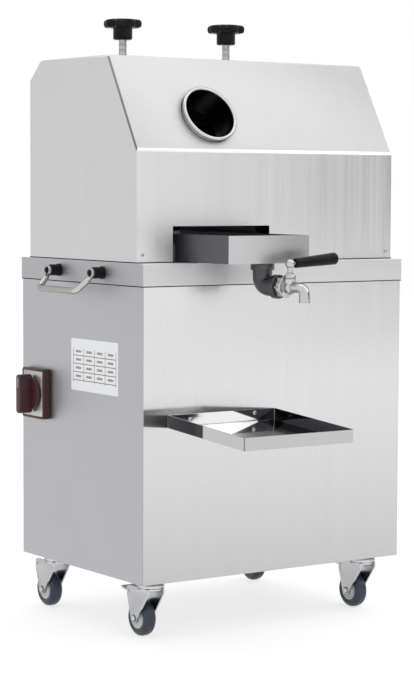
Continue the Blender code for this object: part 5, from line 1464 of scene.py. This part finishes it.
@dataclass
class JuiceTray:
    """The sliding juice tray with its elbow and tap; sizes in millimetres."""

    collar: float = 16.8
    body: float = 13.8
    drop: float = 31.5
    reach: float = 33.0
    outlet_from_front: float = 17.5
    collar_length: float = 9.0
    nut: float = 13.6
    nut_length: float = 8.5
    flange: float = 15.0
    flange_length: float = 3.5
    barrel: float = 10.0
    stem: float = 51.7
    tip: float = 78.6
    tip_drop: float = 20.5
    spout: float = 7.5
    bonnet: float = 17.0
    ball_height: float = 32.6
    ball: float = 6.6
    rise: float = 4.5
    grip_start: float = 8.0
    grip_end: float = 80.0

    def build(self, f: Finishes) -> None:
        """Make the tray, elbow, tap and lever."""
        tray = dress("juice_tray", f.tray, Slot.BRUSHED, 0.5, 3)
        low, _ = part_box("juice_tray")
        left = low.x + 0.1 * MM
        # Painted shade on the tray's outer left side.
        second_finish(tray, f.tray_side_painted_shade, lambda face: face.normal.x < -0.7 and face.center.x < left)
        self.post = Vector(JOINTS["tap_lever_turn"]["pos_m"])
        outlet = Vector((middle("juice_tray").x, low.y + self.outlet_from_front * MM,
                         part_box("outlet_elbow")[1].z))
        self.axis = Vector((outlet.x, outlet.y, outlet.z - self.drop * MM))
        self.heading = (Vector((self.post.x, self.post.y, self.axis.z)) - self.axis).normalized()
        self.elbow(outlet, f)
        self.tap(f)
        self.lever(f)

    def along(self, distance: float, rise: float = 0.0) -> Vector:
        """A place on the tap's axis, in millimetres from the outlet."""
        return self.axis + self.heading * distance * MM + Vector((0, 0, rise * MM))

    def elbow(self, outlet: Vector, f: Finishes) -> None:
        """The cast elbow: a swept bend between two beaded collars."""
        line = bent([outlet - Vector((0, 0, 1 * MM)), self.axis, self.along(self.reach - 1)], 26 * MM, 20)
        bend = loft("elbow_bend", line, [self.body * MM] * len(line), 48)
        r, c = self.collar, self.collar_length
        band = softened(in_mm([(self.body - 1, 0), (r, 0), (r, c), (self.body - 1, c)]), 0.9 * MM, 3)
        collar = [(0, 0)] + band + [(0, c * MM)]
        top = placed(turned("elbow_top", collar, 64), outlet - Vector((0, 0, c * MM)))
        mouth = placed(turned("elbow_mouth", collar, 64), self.along(self.reach - c), standing(self.heading))
        item = joined("outlet_elbow_piece", [bend, top, mouth])
        seat(item, f.cast_grey, Slot.CAST, ["outlet_elbow"])

    def tap(self, f: Finishes) -> None:
        """Nut, flange, barrel, spout and bonnet of the tap."""
        start = self.reach + 0.3
        end = start + self.nut_length
        flat, n = six_sided(self.nut * MM * 0.95), self.nut_length
        profile = [(0, 0), (12.6, 0), (14.8, 1.2), (14.8, n - 1.2), (12.6, n), (0, n)]
        hexagon = turned("tap_nut", in_mm(profile), 96, flat, smooth=25)
        placed(hexagon, self.along(start), standing(self.heading))
        b, g = self.barrel, self.flange
        far = end + self.flange_length
        neck, last = b * 0.86, self.stem + 6
        profile = [(0, end)] + softened([
            (g - 0.6, end), (g, end + 0.6), (g, far - 0.6), (g - 0.6, far), (neck, far + 1), (neck, far + 5),
            (b, far + 7), (b, last - 3), (b * 0.8, last)], 0.8, 3) + [(0, last)]
        barrel = placed(turned("tap_barrel", in_mm(profile), 64), self.axis, standing(self.heading))
        end_of_spout = self.along(self.tip, -self.tip_drop)
        line = bent([self.along(self.stem), self.along(self.tip), end_of_spout], 17 * MM, 18)
        sizes = [self.spout * MM * (0.98 + 0.06 * k / len(line)) for k in range(len(line))]
        spout = loft("tap_spout", line, sizes, 48)
        lip = turned("tap_lip", in_mm([(5, 0.2), (7.2, 0), (8.0, 0.8), (8.0, 2.6), (7.4, 3.4), (5, 3.4)]), 64,
                     ring=True)
        placed(lip, end_of_spout)
        top = self.bonnet
        bonnet = turned("tap_bonnet", in_mm([(0, 2), (7.4, 3), (8.4, 6), (8.4, top - 5.5), (7.2, top - 4.8),
                                             (7.2, top - 4.2), (8.2, top - 3.6), (8.2, top - 1), (7.4, top),
                                             (0, top)]), 64)
        placed(bonnet, (self.post.x, self.post.y, self.axis.z))
        item = joined("tap_body_piece", [hexagon, barrel, spout, lip, bonnet])
        seat(item, f.chrome, Slot.CHROME, ["tap_body"])

    def lever(self, f: Finishes) -> None:
        """The necked ball, its rod and the tapered black grip."""
        base = Vector((self.post.x, self.post.y, self.axis.z))
        low = self.bonnet + 0.3
        sweep = [(self.ball * math.sin(t), self.ball_height + self.ball * math.cos(t))
                 for t in (math.radians(k * 8) for k in range(19))]
        profile = sweep + [(3.6, self.ball_height - 7.2), (3.6, low + 3), (5.2, low + 2.2), (5.2, low),
                           (0, low)]
        neck = placed(turned("lever_neck", in_mm(profile), 64), base)
        slope = math.radians(self.rise)
        aim = Vector((math.cos(slope), 0, math.sin(slope)))
        hub = base + Vector((0, 0, self.ball_height * MM))
        rod = turned("lever_bar", in_mm([(0, 0), (3.5, 0), (3.5, 43), (0, 43)]), 32)
        bar = placed(rod, hub, standing(aim))
        seat(joined("tap_lever_piece", [neck, bar]), f.chrome, Slot.CHROME, ["tap_lever"])
        first, last = self.grip_start, self.grip_end
        line = softened([(3.9, first), (6.0, first), (6.8, first + 1.0), (7.0, first + 8), (8.3, last - 12),
                         (8.6, last - 5), (8.2, last - 1.4), (6.2, last), (0, last)], 2.0, 4)
        grip = turned("lever_grip_piece", in_mm([(0, 43.4), (3.9, 43.4)] + line), 64)
        seat(placed(grip, hub, standing(aim)), f.black, Slot.BLACK, ["lever_grip"])


@dataclass
class CupTray:
    """The mirror-bright tray for cups, with its two bolts; places in millimetres from the corner."""

    bolts: tuple[Point, ...] = ((78.3, 230.0), (189.9, 233.0))
    bolt_face: float = -1.5

    def build(self, f: Finishes) -> None:
        """Make the tray and its bolts."""
        tray = dress("cup_tray", f.mirror, Slot.POLISHED, 0.7, 3)
        # Painted shade on the tray's rounded edges and folds.
        second_finish(tray, f.fold, lambda face: max(abs(part) for part in face.normal) < 0.93)
        places = [spot(x, self.bolt_face, z) for x, z in self.bolts]
        fasteners("cup_tray_bolts", Head.PAN, places, (0, -1, 0), f.chrome, Slot.CHROME)


@dataclass
class SideHandles:
    """Chrome bails on ribbed black posts; sizes in millimetres."""

    post: float = 8.4
    flange: float = 9.2
    length: float = 16.5
    ribs: int = 3
    rib_depth: float = 1.4
    eye: float = 7.0
    bore: float = 3.3
    eye_thickness: float = 4.5
    rod: float = 4.6
    out: float = 20.2
    drop: float = 25.6
    inset: float = 8.0

    def build(self, f: Finishes) -> None:
        """Make both handles."""
        for side, name in ((-1, "left"), (1, "right")):
            for where in ("front", "back"):
                self.handle_post(side, "handle_post_%s_%s" % (name, where), f)
            self.bail(side, "handle_bail_" + name, f)

    def handle_post(self, side: int, node: str, f: Finishes) -> None:
        """The ribbed spacer, and the dome screw through the bail's eye."""
        low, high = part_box(node)
        wall = high.x if side < 0 else low.x
        pitch = (self.length - 3) / self.ribs
        r, d = self.post, self.rib_depth
        ribs = [(r - d * (0.5 + 0.5 * math.cos(2 * math.pi * t)) ** 1.5, 3 + pitch * t)
                for t in (k / 12 for k in range(12 * self.ribs + 1))]
        profile = [(0, 0), (self.flange - 0.8, 0), (self.flange, 0.8), (self.flange, 2.2), (r - d + 0.5, 3)]
        profile += ribs[1:] + [(3.1, self.length), (0, self.length)]
        stand = standing(Vector((side, 0, 0)))
        centre = middle(node)
        item = turned(node + "_piece", in_mm(profile), 64)
        seat(placed(item, (wall, centre.y, centre.z), stand), f.satin_black, Slot.BLACK, [node])
        start = self.length + self.eye_thickness + 0.6
        dome = [(0, start + 2.6), (1.6, start + 2.5), (3.2, start + 1.9), (4.4, start + 0.9), (5, start),
                (3, start), (3, self.length), (0, self.length)]
        head = turned(node + "_screw", in_mm(dome), 48)
        slot = slab("slot", rectangle(8 * MM, 0.9 * MM), 1.4 * MM)
        head = carve(head, [placed(slot, (0, 0, (start + 2.7) * MM))])
        # The screw head is black to stand in for the dark shade of the eye's hole: painted shade.
        seat(placed(head, (wall, centre.y, centre.z), stand), f.satin_black, Slot.BLACK)

    def bail(self, side: int, node: str, f: Finishes) -> None:
        """The bent rod with flattened eyes at its ends."""
        post = node.replace("bail", "post")
        front, back = middle(post + "_front"), middle(post + "_back")
        low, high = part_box(post + "_front")
        wall = high.x if side < 0 else low.x
        centre_y, centre_z = (front.y + back.y) / 2, front.z
        eye_x = wall + side * (self.length + 0.3 + self.eye_thickness / 2) * MM
        eye_y = centre_y - (back.y - front.y) / 2
        neck = Vector((eye_x, eye_y, centre_z - self.eye * MM))
        corner = Vector((eye_x + side * self.out * MM, eye_y + self.inset * MM, centre_z - self.drop * MM))
        mirror = Vector((corner.x, 2 * centre_y - corner.y, corner.z))
        neck_back = Vector((neck.x, 2 * centre_y - neck.y, neck.z))
        start = neck + Vector((0, 0, 3 * MM))
        line = bent([start, neck, corner, mirror, neck_back, neck_back + Vector((0, 0, 3 * MM))], 8 * MM, 10)
        total = sum((b - a).length for a, b in zip(line, line[1:]))
        sizes, run = [], 0.0
        for i, point in enumerate(line):
            run += (point - line[i - 1]).length if i else 0.0
            near = min(run, total - run) / (11 * MM)
            sizes.append(self.rod * MM * (0.5 + 0.5 * min(1.0, near)))
        pieces = [loft(node + "_rod", line, sizes, 40)]
        for y in (eye_y, 2 * centre_y - eye_y):
            section = softened(both_sides([(self.bore, -2.2), (self.eye, -2.2)]), 0.9 * MM, 3, True)
            ring = turned(node + "_eye", section, 56, ring=True)
            pieces.append(placed(ring, (eye_x, y, centre_z), Axis.X))
        seat(joined(node + "_piece", pieces), f.chrome, Slot.CHROME, [node])


@dataclass
class Switch:
    """The brown rotary switch on the left side; sizes in millimetres."""

    width: float = 64.0
    height: float = 75.0
    bezel: float = 11.5
    plate: Point = (57.0, 68.0)
    disc: float = 24.0
    disc_height: float = 5.0
    grip_width: float = 13.0
    grip_length: float = 58.0
    grip_out: float = 25.0

    def build(self, f: Finishes) -> None:
        """Make the bezel, its plate and the knob."""
        low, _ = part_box("switch_bezel")
        centre = middle("switch_bezel")
        bezel = slab("switch_bezel_piece", panel(self.width, self.height, 5, 6), self.bezel * MM, 1.4 * MM, 4)
        pocket = slab("pocket", panel(*self.plate, 3, 4), 3 * MM)
        placed(bezel, centre, Axis.X)
        placed(pocket, (low.x, centre.y, centre.z), Axis.X)
        seat(carve(bezel, [pocket]), f.brown, Slot.BROWN, ["switch_bezel"])
        inner = (size - 0.6 for size in self.plate)
        plate = slab("switch_plate", panel(*inner, 2.6, 4), 1.0 * MM, 0.15 * MM)
        placed(plate, (low.x + 0.7 * MM, centre.y, centre.z), Axis.X)
        seat(plate, f.silver, Slot.POLISHED)
        self.knob(f)

    def knob(self, f: Finishes) -> None:
        """The disc with its bar grip and a pale pointer line."""
        low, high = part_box("switch_knob")
        centre = middle("switch_knob")
        disc = turned("switch_disc", softened(in_mm([(0, 0), (self.disc, 0), (self.disc, self.disc_height),
                                                     (0, self.disc_height)]), 1.2 * MM, 3), 72)
        placed(disc, (high.x, centre.y, centre.z), Axis.X_LEFT)
        thick = self.grip_out - 3
        loop = panel(self.grip_width, self.grip_length, 0.48 * self.grip_width, 8)
        bar = slab("switch_bar", loop, thick * MM, 1.8 * MM, 4)
        placed(bar, (low.x + thick / 2 * MM, centre.y, centre.z), Axis.X)
        seat(joined("switch_knob_piece", [disc, bar]), f.brown, Slot.BROWN, ["switch_knob"])
        line = slab("switch_pointer", rectangle(1.8 * MM, 15 * MM), 0.5 * MM, 0.1 * MM)
        placed(line, (low.x + 0.1 * MM, centre.y, centre.z + 17 * MM), Axis.X)
        seat(line, f.silver, Slot.POLISHED, body=BODY_OF["switch_knob"])


@dataclass
class Casters:
    """Four swivel casters, the front two with brakes; sizes in millimetres."""

    wheel: float = 26.0
    half: float = 10.0
    hub: float = 15.0
    plate_side: float = 46.0
    sheet: float = 2.5
    seal_rise: float = 5.4
    nut_depth: float = 2.5

    def build(self, f: Finishes) -> None:
        """Make every caster."""
        for tag in ("front_left", "front_right", "rear_left", "rear_right"):
            self.plate(tag, f)
            dress("caster_fork_" + tag, f.zinc, Slot.CHROME, 0.5, 2)
            self.tyre(tag, f)
            self.axle(tag, f)
            if tag.startswith("front"):
                dress("brake_pedal_" + tag, f.zinc, Slot.CHROME, 0.4, 2)

    def plate(self, tag: str, f: Finishes) -> None:
        """The top plate with its pressed race and a dark sealing ring."""
        node = "caster_plate_" + tag
        start, top = foot(node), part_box(node)[1].z
        sheet = slab("sheet", panel(self.plate_side, self.plate_side, 6, 5), self.sheet * MM, 0.4 * MM)
        placed(sheet, (start.x, start.y, top - self.sheet / 2 * MM))
        profile = in_mm([(0, 0.6), (17.6, 0.6), (18.4, 0), (19.4, 1.0), (19.9, 2.4), (19.2, 4.6), (18.0, 6.4),
                         (18.0, 8.6), (0, 8.6)])
        race = placed(turned("race", profile, 64), start)
        seat(joined(node + "_piece", [sheet, race]), f.zinc, Slot.CHROME, [node])
        section = in_mm([(17.2, 0.1), (18.6, 0.2), (18.6, 1.2), (17.2, 1.2)])
        dark_band = turned("caster_seal_" + tag, section, 64, ring=True)
        seat(placed(dark_band, start + Vector((0, 0, self.seal_rise * MM))), f.satin_black, Slot.BLACK)

    def tyre(self, tag: str, f: Finishes) -> None:
        """The rubber tyre round a pale moulded hub."""
        node = "caster_wheel_" + tag
        centre = middle(node)
        r, h, b = self.wheel, self.half, self.hub
        tyre = softened(both_sides([(b + 0.2, -h + 1), (b + 2.5, -h), (r - 5, -h), (r - 1.2, -h + 3.2),
                                    (r, -3.5)]), 1.6 * MM, 4, True)
        item = turned(node + "_piece", tyre, 80, ring=True)
        seat(placed(item, centre, Axis.X), f.tyre, Slot.RUBBER, [node])
        hub = softened(both_sides([(4.3, -h + 0.4), (7.4, -h + 0.4), (8.6, -h + 2.6), (b - 2.4, -h + 2.6),
                                   (b - 1.2, -h + 0.8), (b + 0.3, -h + 0.8)]), 0.5 * MM, 2, True)
        item = turned("caster_hub_" + tag, hub, 64, ring=True)
        seat(placed(item, centre, Axis.X), f.hub, Slot.RUBBER, body=BODY_OF[node])

    def axle(self, tag: str, f: Finishes) -> None:
        """Nuts on the axle's ends."""
        node = "caster_fork_" + tag
        wheel, inset = middle("caster_wheel_" + tag), self.nut_depth * MM
        low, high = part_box(node)
        for x, facing, name in ((low.x + inset, -1, "left"), (high.x - inset, 1, "right")):
            fasteners("axle_nut_%s_%s" % (tag, name), Head.AXLE, [(x, wheel.y, wheel.z)], (facing, 0, 0),
                      f.zinc, Slot.CHROME, BODY_OF[node])


@dataclass
class Chute:
    """The discharge trough behind the rollers."""

    edge: float = 0.5

    def build(self, f: Finishes) -> None:
        """Make the chute."""
        dress("discharge_chute", f.tray, Slot.BRUSHED, self.edge)


# Studio


@dataclass
class Studio:
    """A pale floor, a white surround, soft lamps and the camera.

    The camera's place and turn come from a fit of the cabinet's corners, so its values are in the
    machine's own millimetres and degrees.
    """

    lens: float = 110.66
    sensor: float = 36.0
    yaw: float = 34.62
    pitch: float = 4.192
    roll: float = 0.268
    camera_from_corner: tuple[float, float, float] = (-1571.9, -2432.1, 556.3)
    floor_size: float = 14.0
    floor_grey: float = 0.86
    floor_glow: float = 1.25
    glow_share: float = 0.55
    ambient: float = 0.9
    aim: tuple[float, float, float] = (0, 0.05, 0.5)
    lamps: tuple[tuple[str, tuple[float, float, float], Point, float], ...] = (
        ("key", (1.75, -1.4, 2.9), (3.4, 3.4), 25.0), ("top", (0.0, 0.6, 3.2), (2.6, 2.0), 12.0))
    cards: tuple[tuple[Point, Point, float, float], ...] = (((1.72, -2.5), (2.8, -1.5), 0.42, 1.3),)

    def build(self) -> None:
        """Make the whole studio."""
        scene = bpy.context.scene
        scene.view_settings.view_transform = 'Standard'
        self.camera()
        self.surround()
        self.floor()
        for lamp in self.lamps:
            self.lamp(*lamp)
        for index, card in enumerate(self.cards):
            self.card("dark_card_%d" % index, *card)

    def camera(self) -> None:
        """Put the camera where the photograph was taken from."""
        low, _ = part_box("cabinet_shell")
        yaw, pitch, roll = (math.radians(a) for a in (self.yaw, self.pitch, self.roll))
        ahead = Vector((math.sin(yaw) * math.cos(pitch), math.cos(yaw) * math.cos(pitch), -math.sin(pitch)))
        level = Vector((math.cos(yaw), -math.sin(yaw), 0))
        rise = level.cross(ahead)
        right = math.cos(roll) * level + math.sin(roll) * rise
        up = -math.sin(roll) * level + math.cos(roll) * rise
        data = bpy.data.cameras.new("photo_view")
        data.lens = self.lens
        data.sensor_width = self.sensor
        camera = linked("photo_view", data)
        turn = Matrix((right, up, -ahead)).transposed().to_4x4()
        camera.matrix_world = Matrix.Translation(low + Vector(self.camera_from_corner) * MM) @ turn
        bpy.context.scene.camera = camera

    def white_to_eye(self, w: Wiring) -> NodeSocket:
        """One for camera, glossy and transmission rays, zero for the rest."""
        path = w.node('ShaderNodeLightPath')
        seen = w.maths('MAXIMUM', path.outputs["Is Camera Ray"], path.outputs["Is Glossy Ray"])
        return w.maths('MAXIMUM', seen, path.outputs["Is Transmission Ray"])

    def surround(self) -> None:
        """A white world to the eye and to reflections, softer as a light."""
        world = bpy.data.worlds.new("studio")
        bpy.context.scene.world = world
        world.use_nodes = True
        w = Wiring(world.node_tree)
        background = world.node_tree.nodes["Background"]
        seen = self.white_to_eye(w)
        w.feed(background, {"Strength": w.ramp(seen, 0.0, 1.0, self.ambient), "Color": (1, 1, 1, 1)})

    def floor(self) -> None:
        """A pale floor that keeps the machine's shadow."""
        form = bmesh.new()
        bmesh.ops.create_grid(form, x_segments=1, y_segments=1, size=self.floor_size / 2)
        item = from_form("studio_floor", form)
        w, shader, out = start_material("pale_floor")
        w.feed(shader, {"Base Color": (*[self.floor_grey] * 3, 1), "Roughness": 0.7})
        glow = w.wire('ShaderNodeEmission', {"Color": (1, 1, 1, 1), "Strength": self.floor_glow})
        share = w.product(self.white_to_eye(w), self.glow_share)
        both = {0: share, 1: shader.outputs[0], 2: glow}
        w.feed(out, {"Surface": w.wire('ShaderNodeMixShader', both)})
        item.data.materials.append(bpy.data.materials["pale_floor"])

    def card(self, name: str, start: Point, end: Point, low: float, high: float) -> None:
        """Stand a black card that only shows in reflections, as in a product studio.

        Args:
            name: the card's name.
            start: x and y of one end.
            end: x and y of the other end.
            low: height of its lower edge.
            high: height of its upper edge.
        """
        form = bmesh.new()
        corners = [(*start, low), (*end, low), (*end, high), (*start, high)]
        form.faces.new([form.verts.new(corner) for corner in corners])
        item = from_form(name, form)
        w, shader, _ = start_material(name)
        w.feed(shader, {"Base Color": (0.01, 0.01, 0.01, 1), "Roughness": 1.0})
        item.data.materials.append(bpy.data.materials[name])
        item.visible_camera = item.visible_diffuse = item.visible_shadow = False

    def lamp(self, name: str, place: Place, size: Point, power: float) -> None:
        """Add a soft rectangular lamp aimed at the machine.

        Args:
            name: the lamp's name.
            place: its position.
            size: its width and height.
            power: in watts.
        """
        data = bpy.data.lights.new(name, 'AREA')
        data.shape = 'RECTANGLE'
        data.size, data.size_y = size
        data.energy = power
        item = linked(name, data)
        item.location = place
        aim = Vector(self.aim) - Vector(place)
        item.rotation_euler = aim.to_track_quat('-Z', 'Y').to_euler()


def main() -> None:
    """Build the studio and dress the machine."""
    logging.basicConfig(level=logging.INFO, format="%(name)s: %(message)s")
    finishes = Finishes()
    Studio().build()
    for assembly in (Cabinet, Hood, PressScrew, PressHead, JuiceTray, CupTray, SideHandles, Switch, Casters,
                     Chute):
        assembly().build(finishes)


if __name__ == "__main__":
    main()
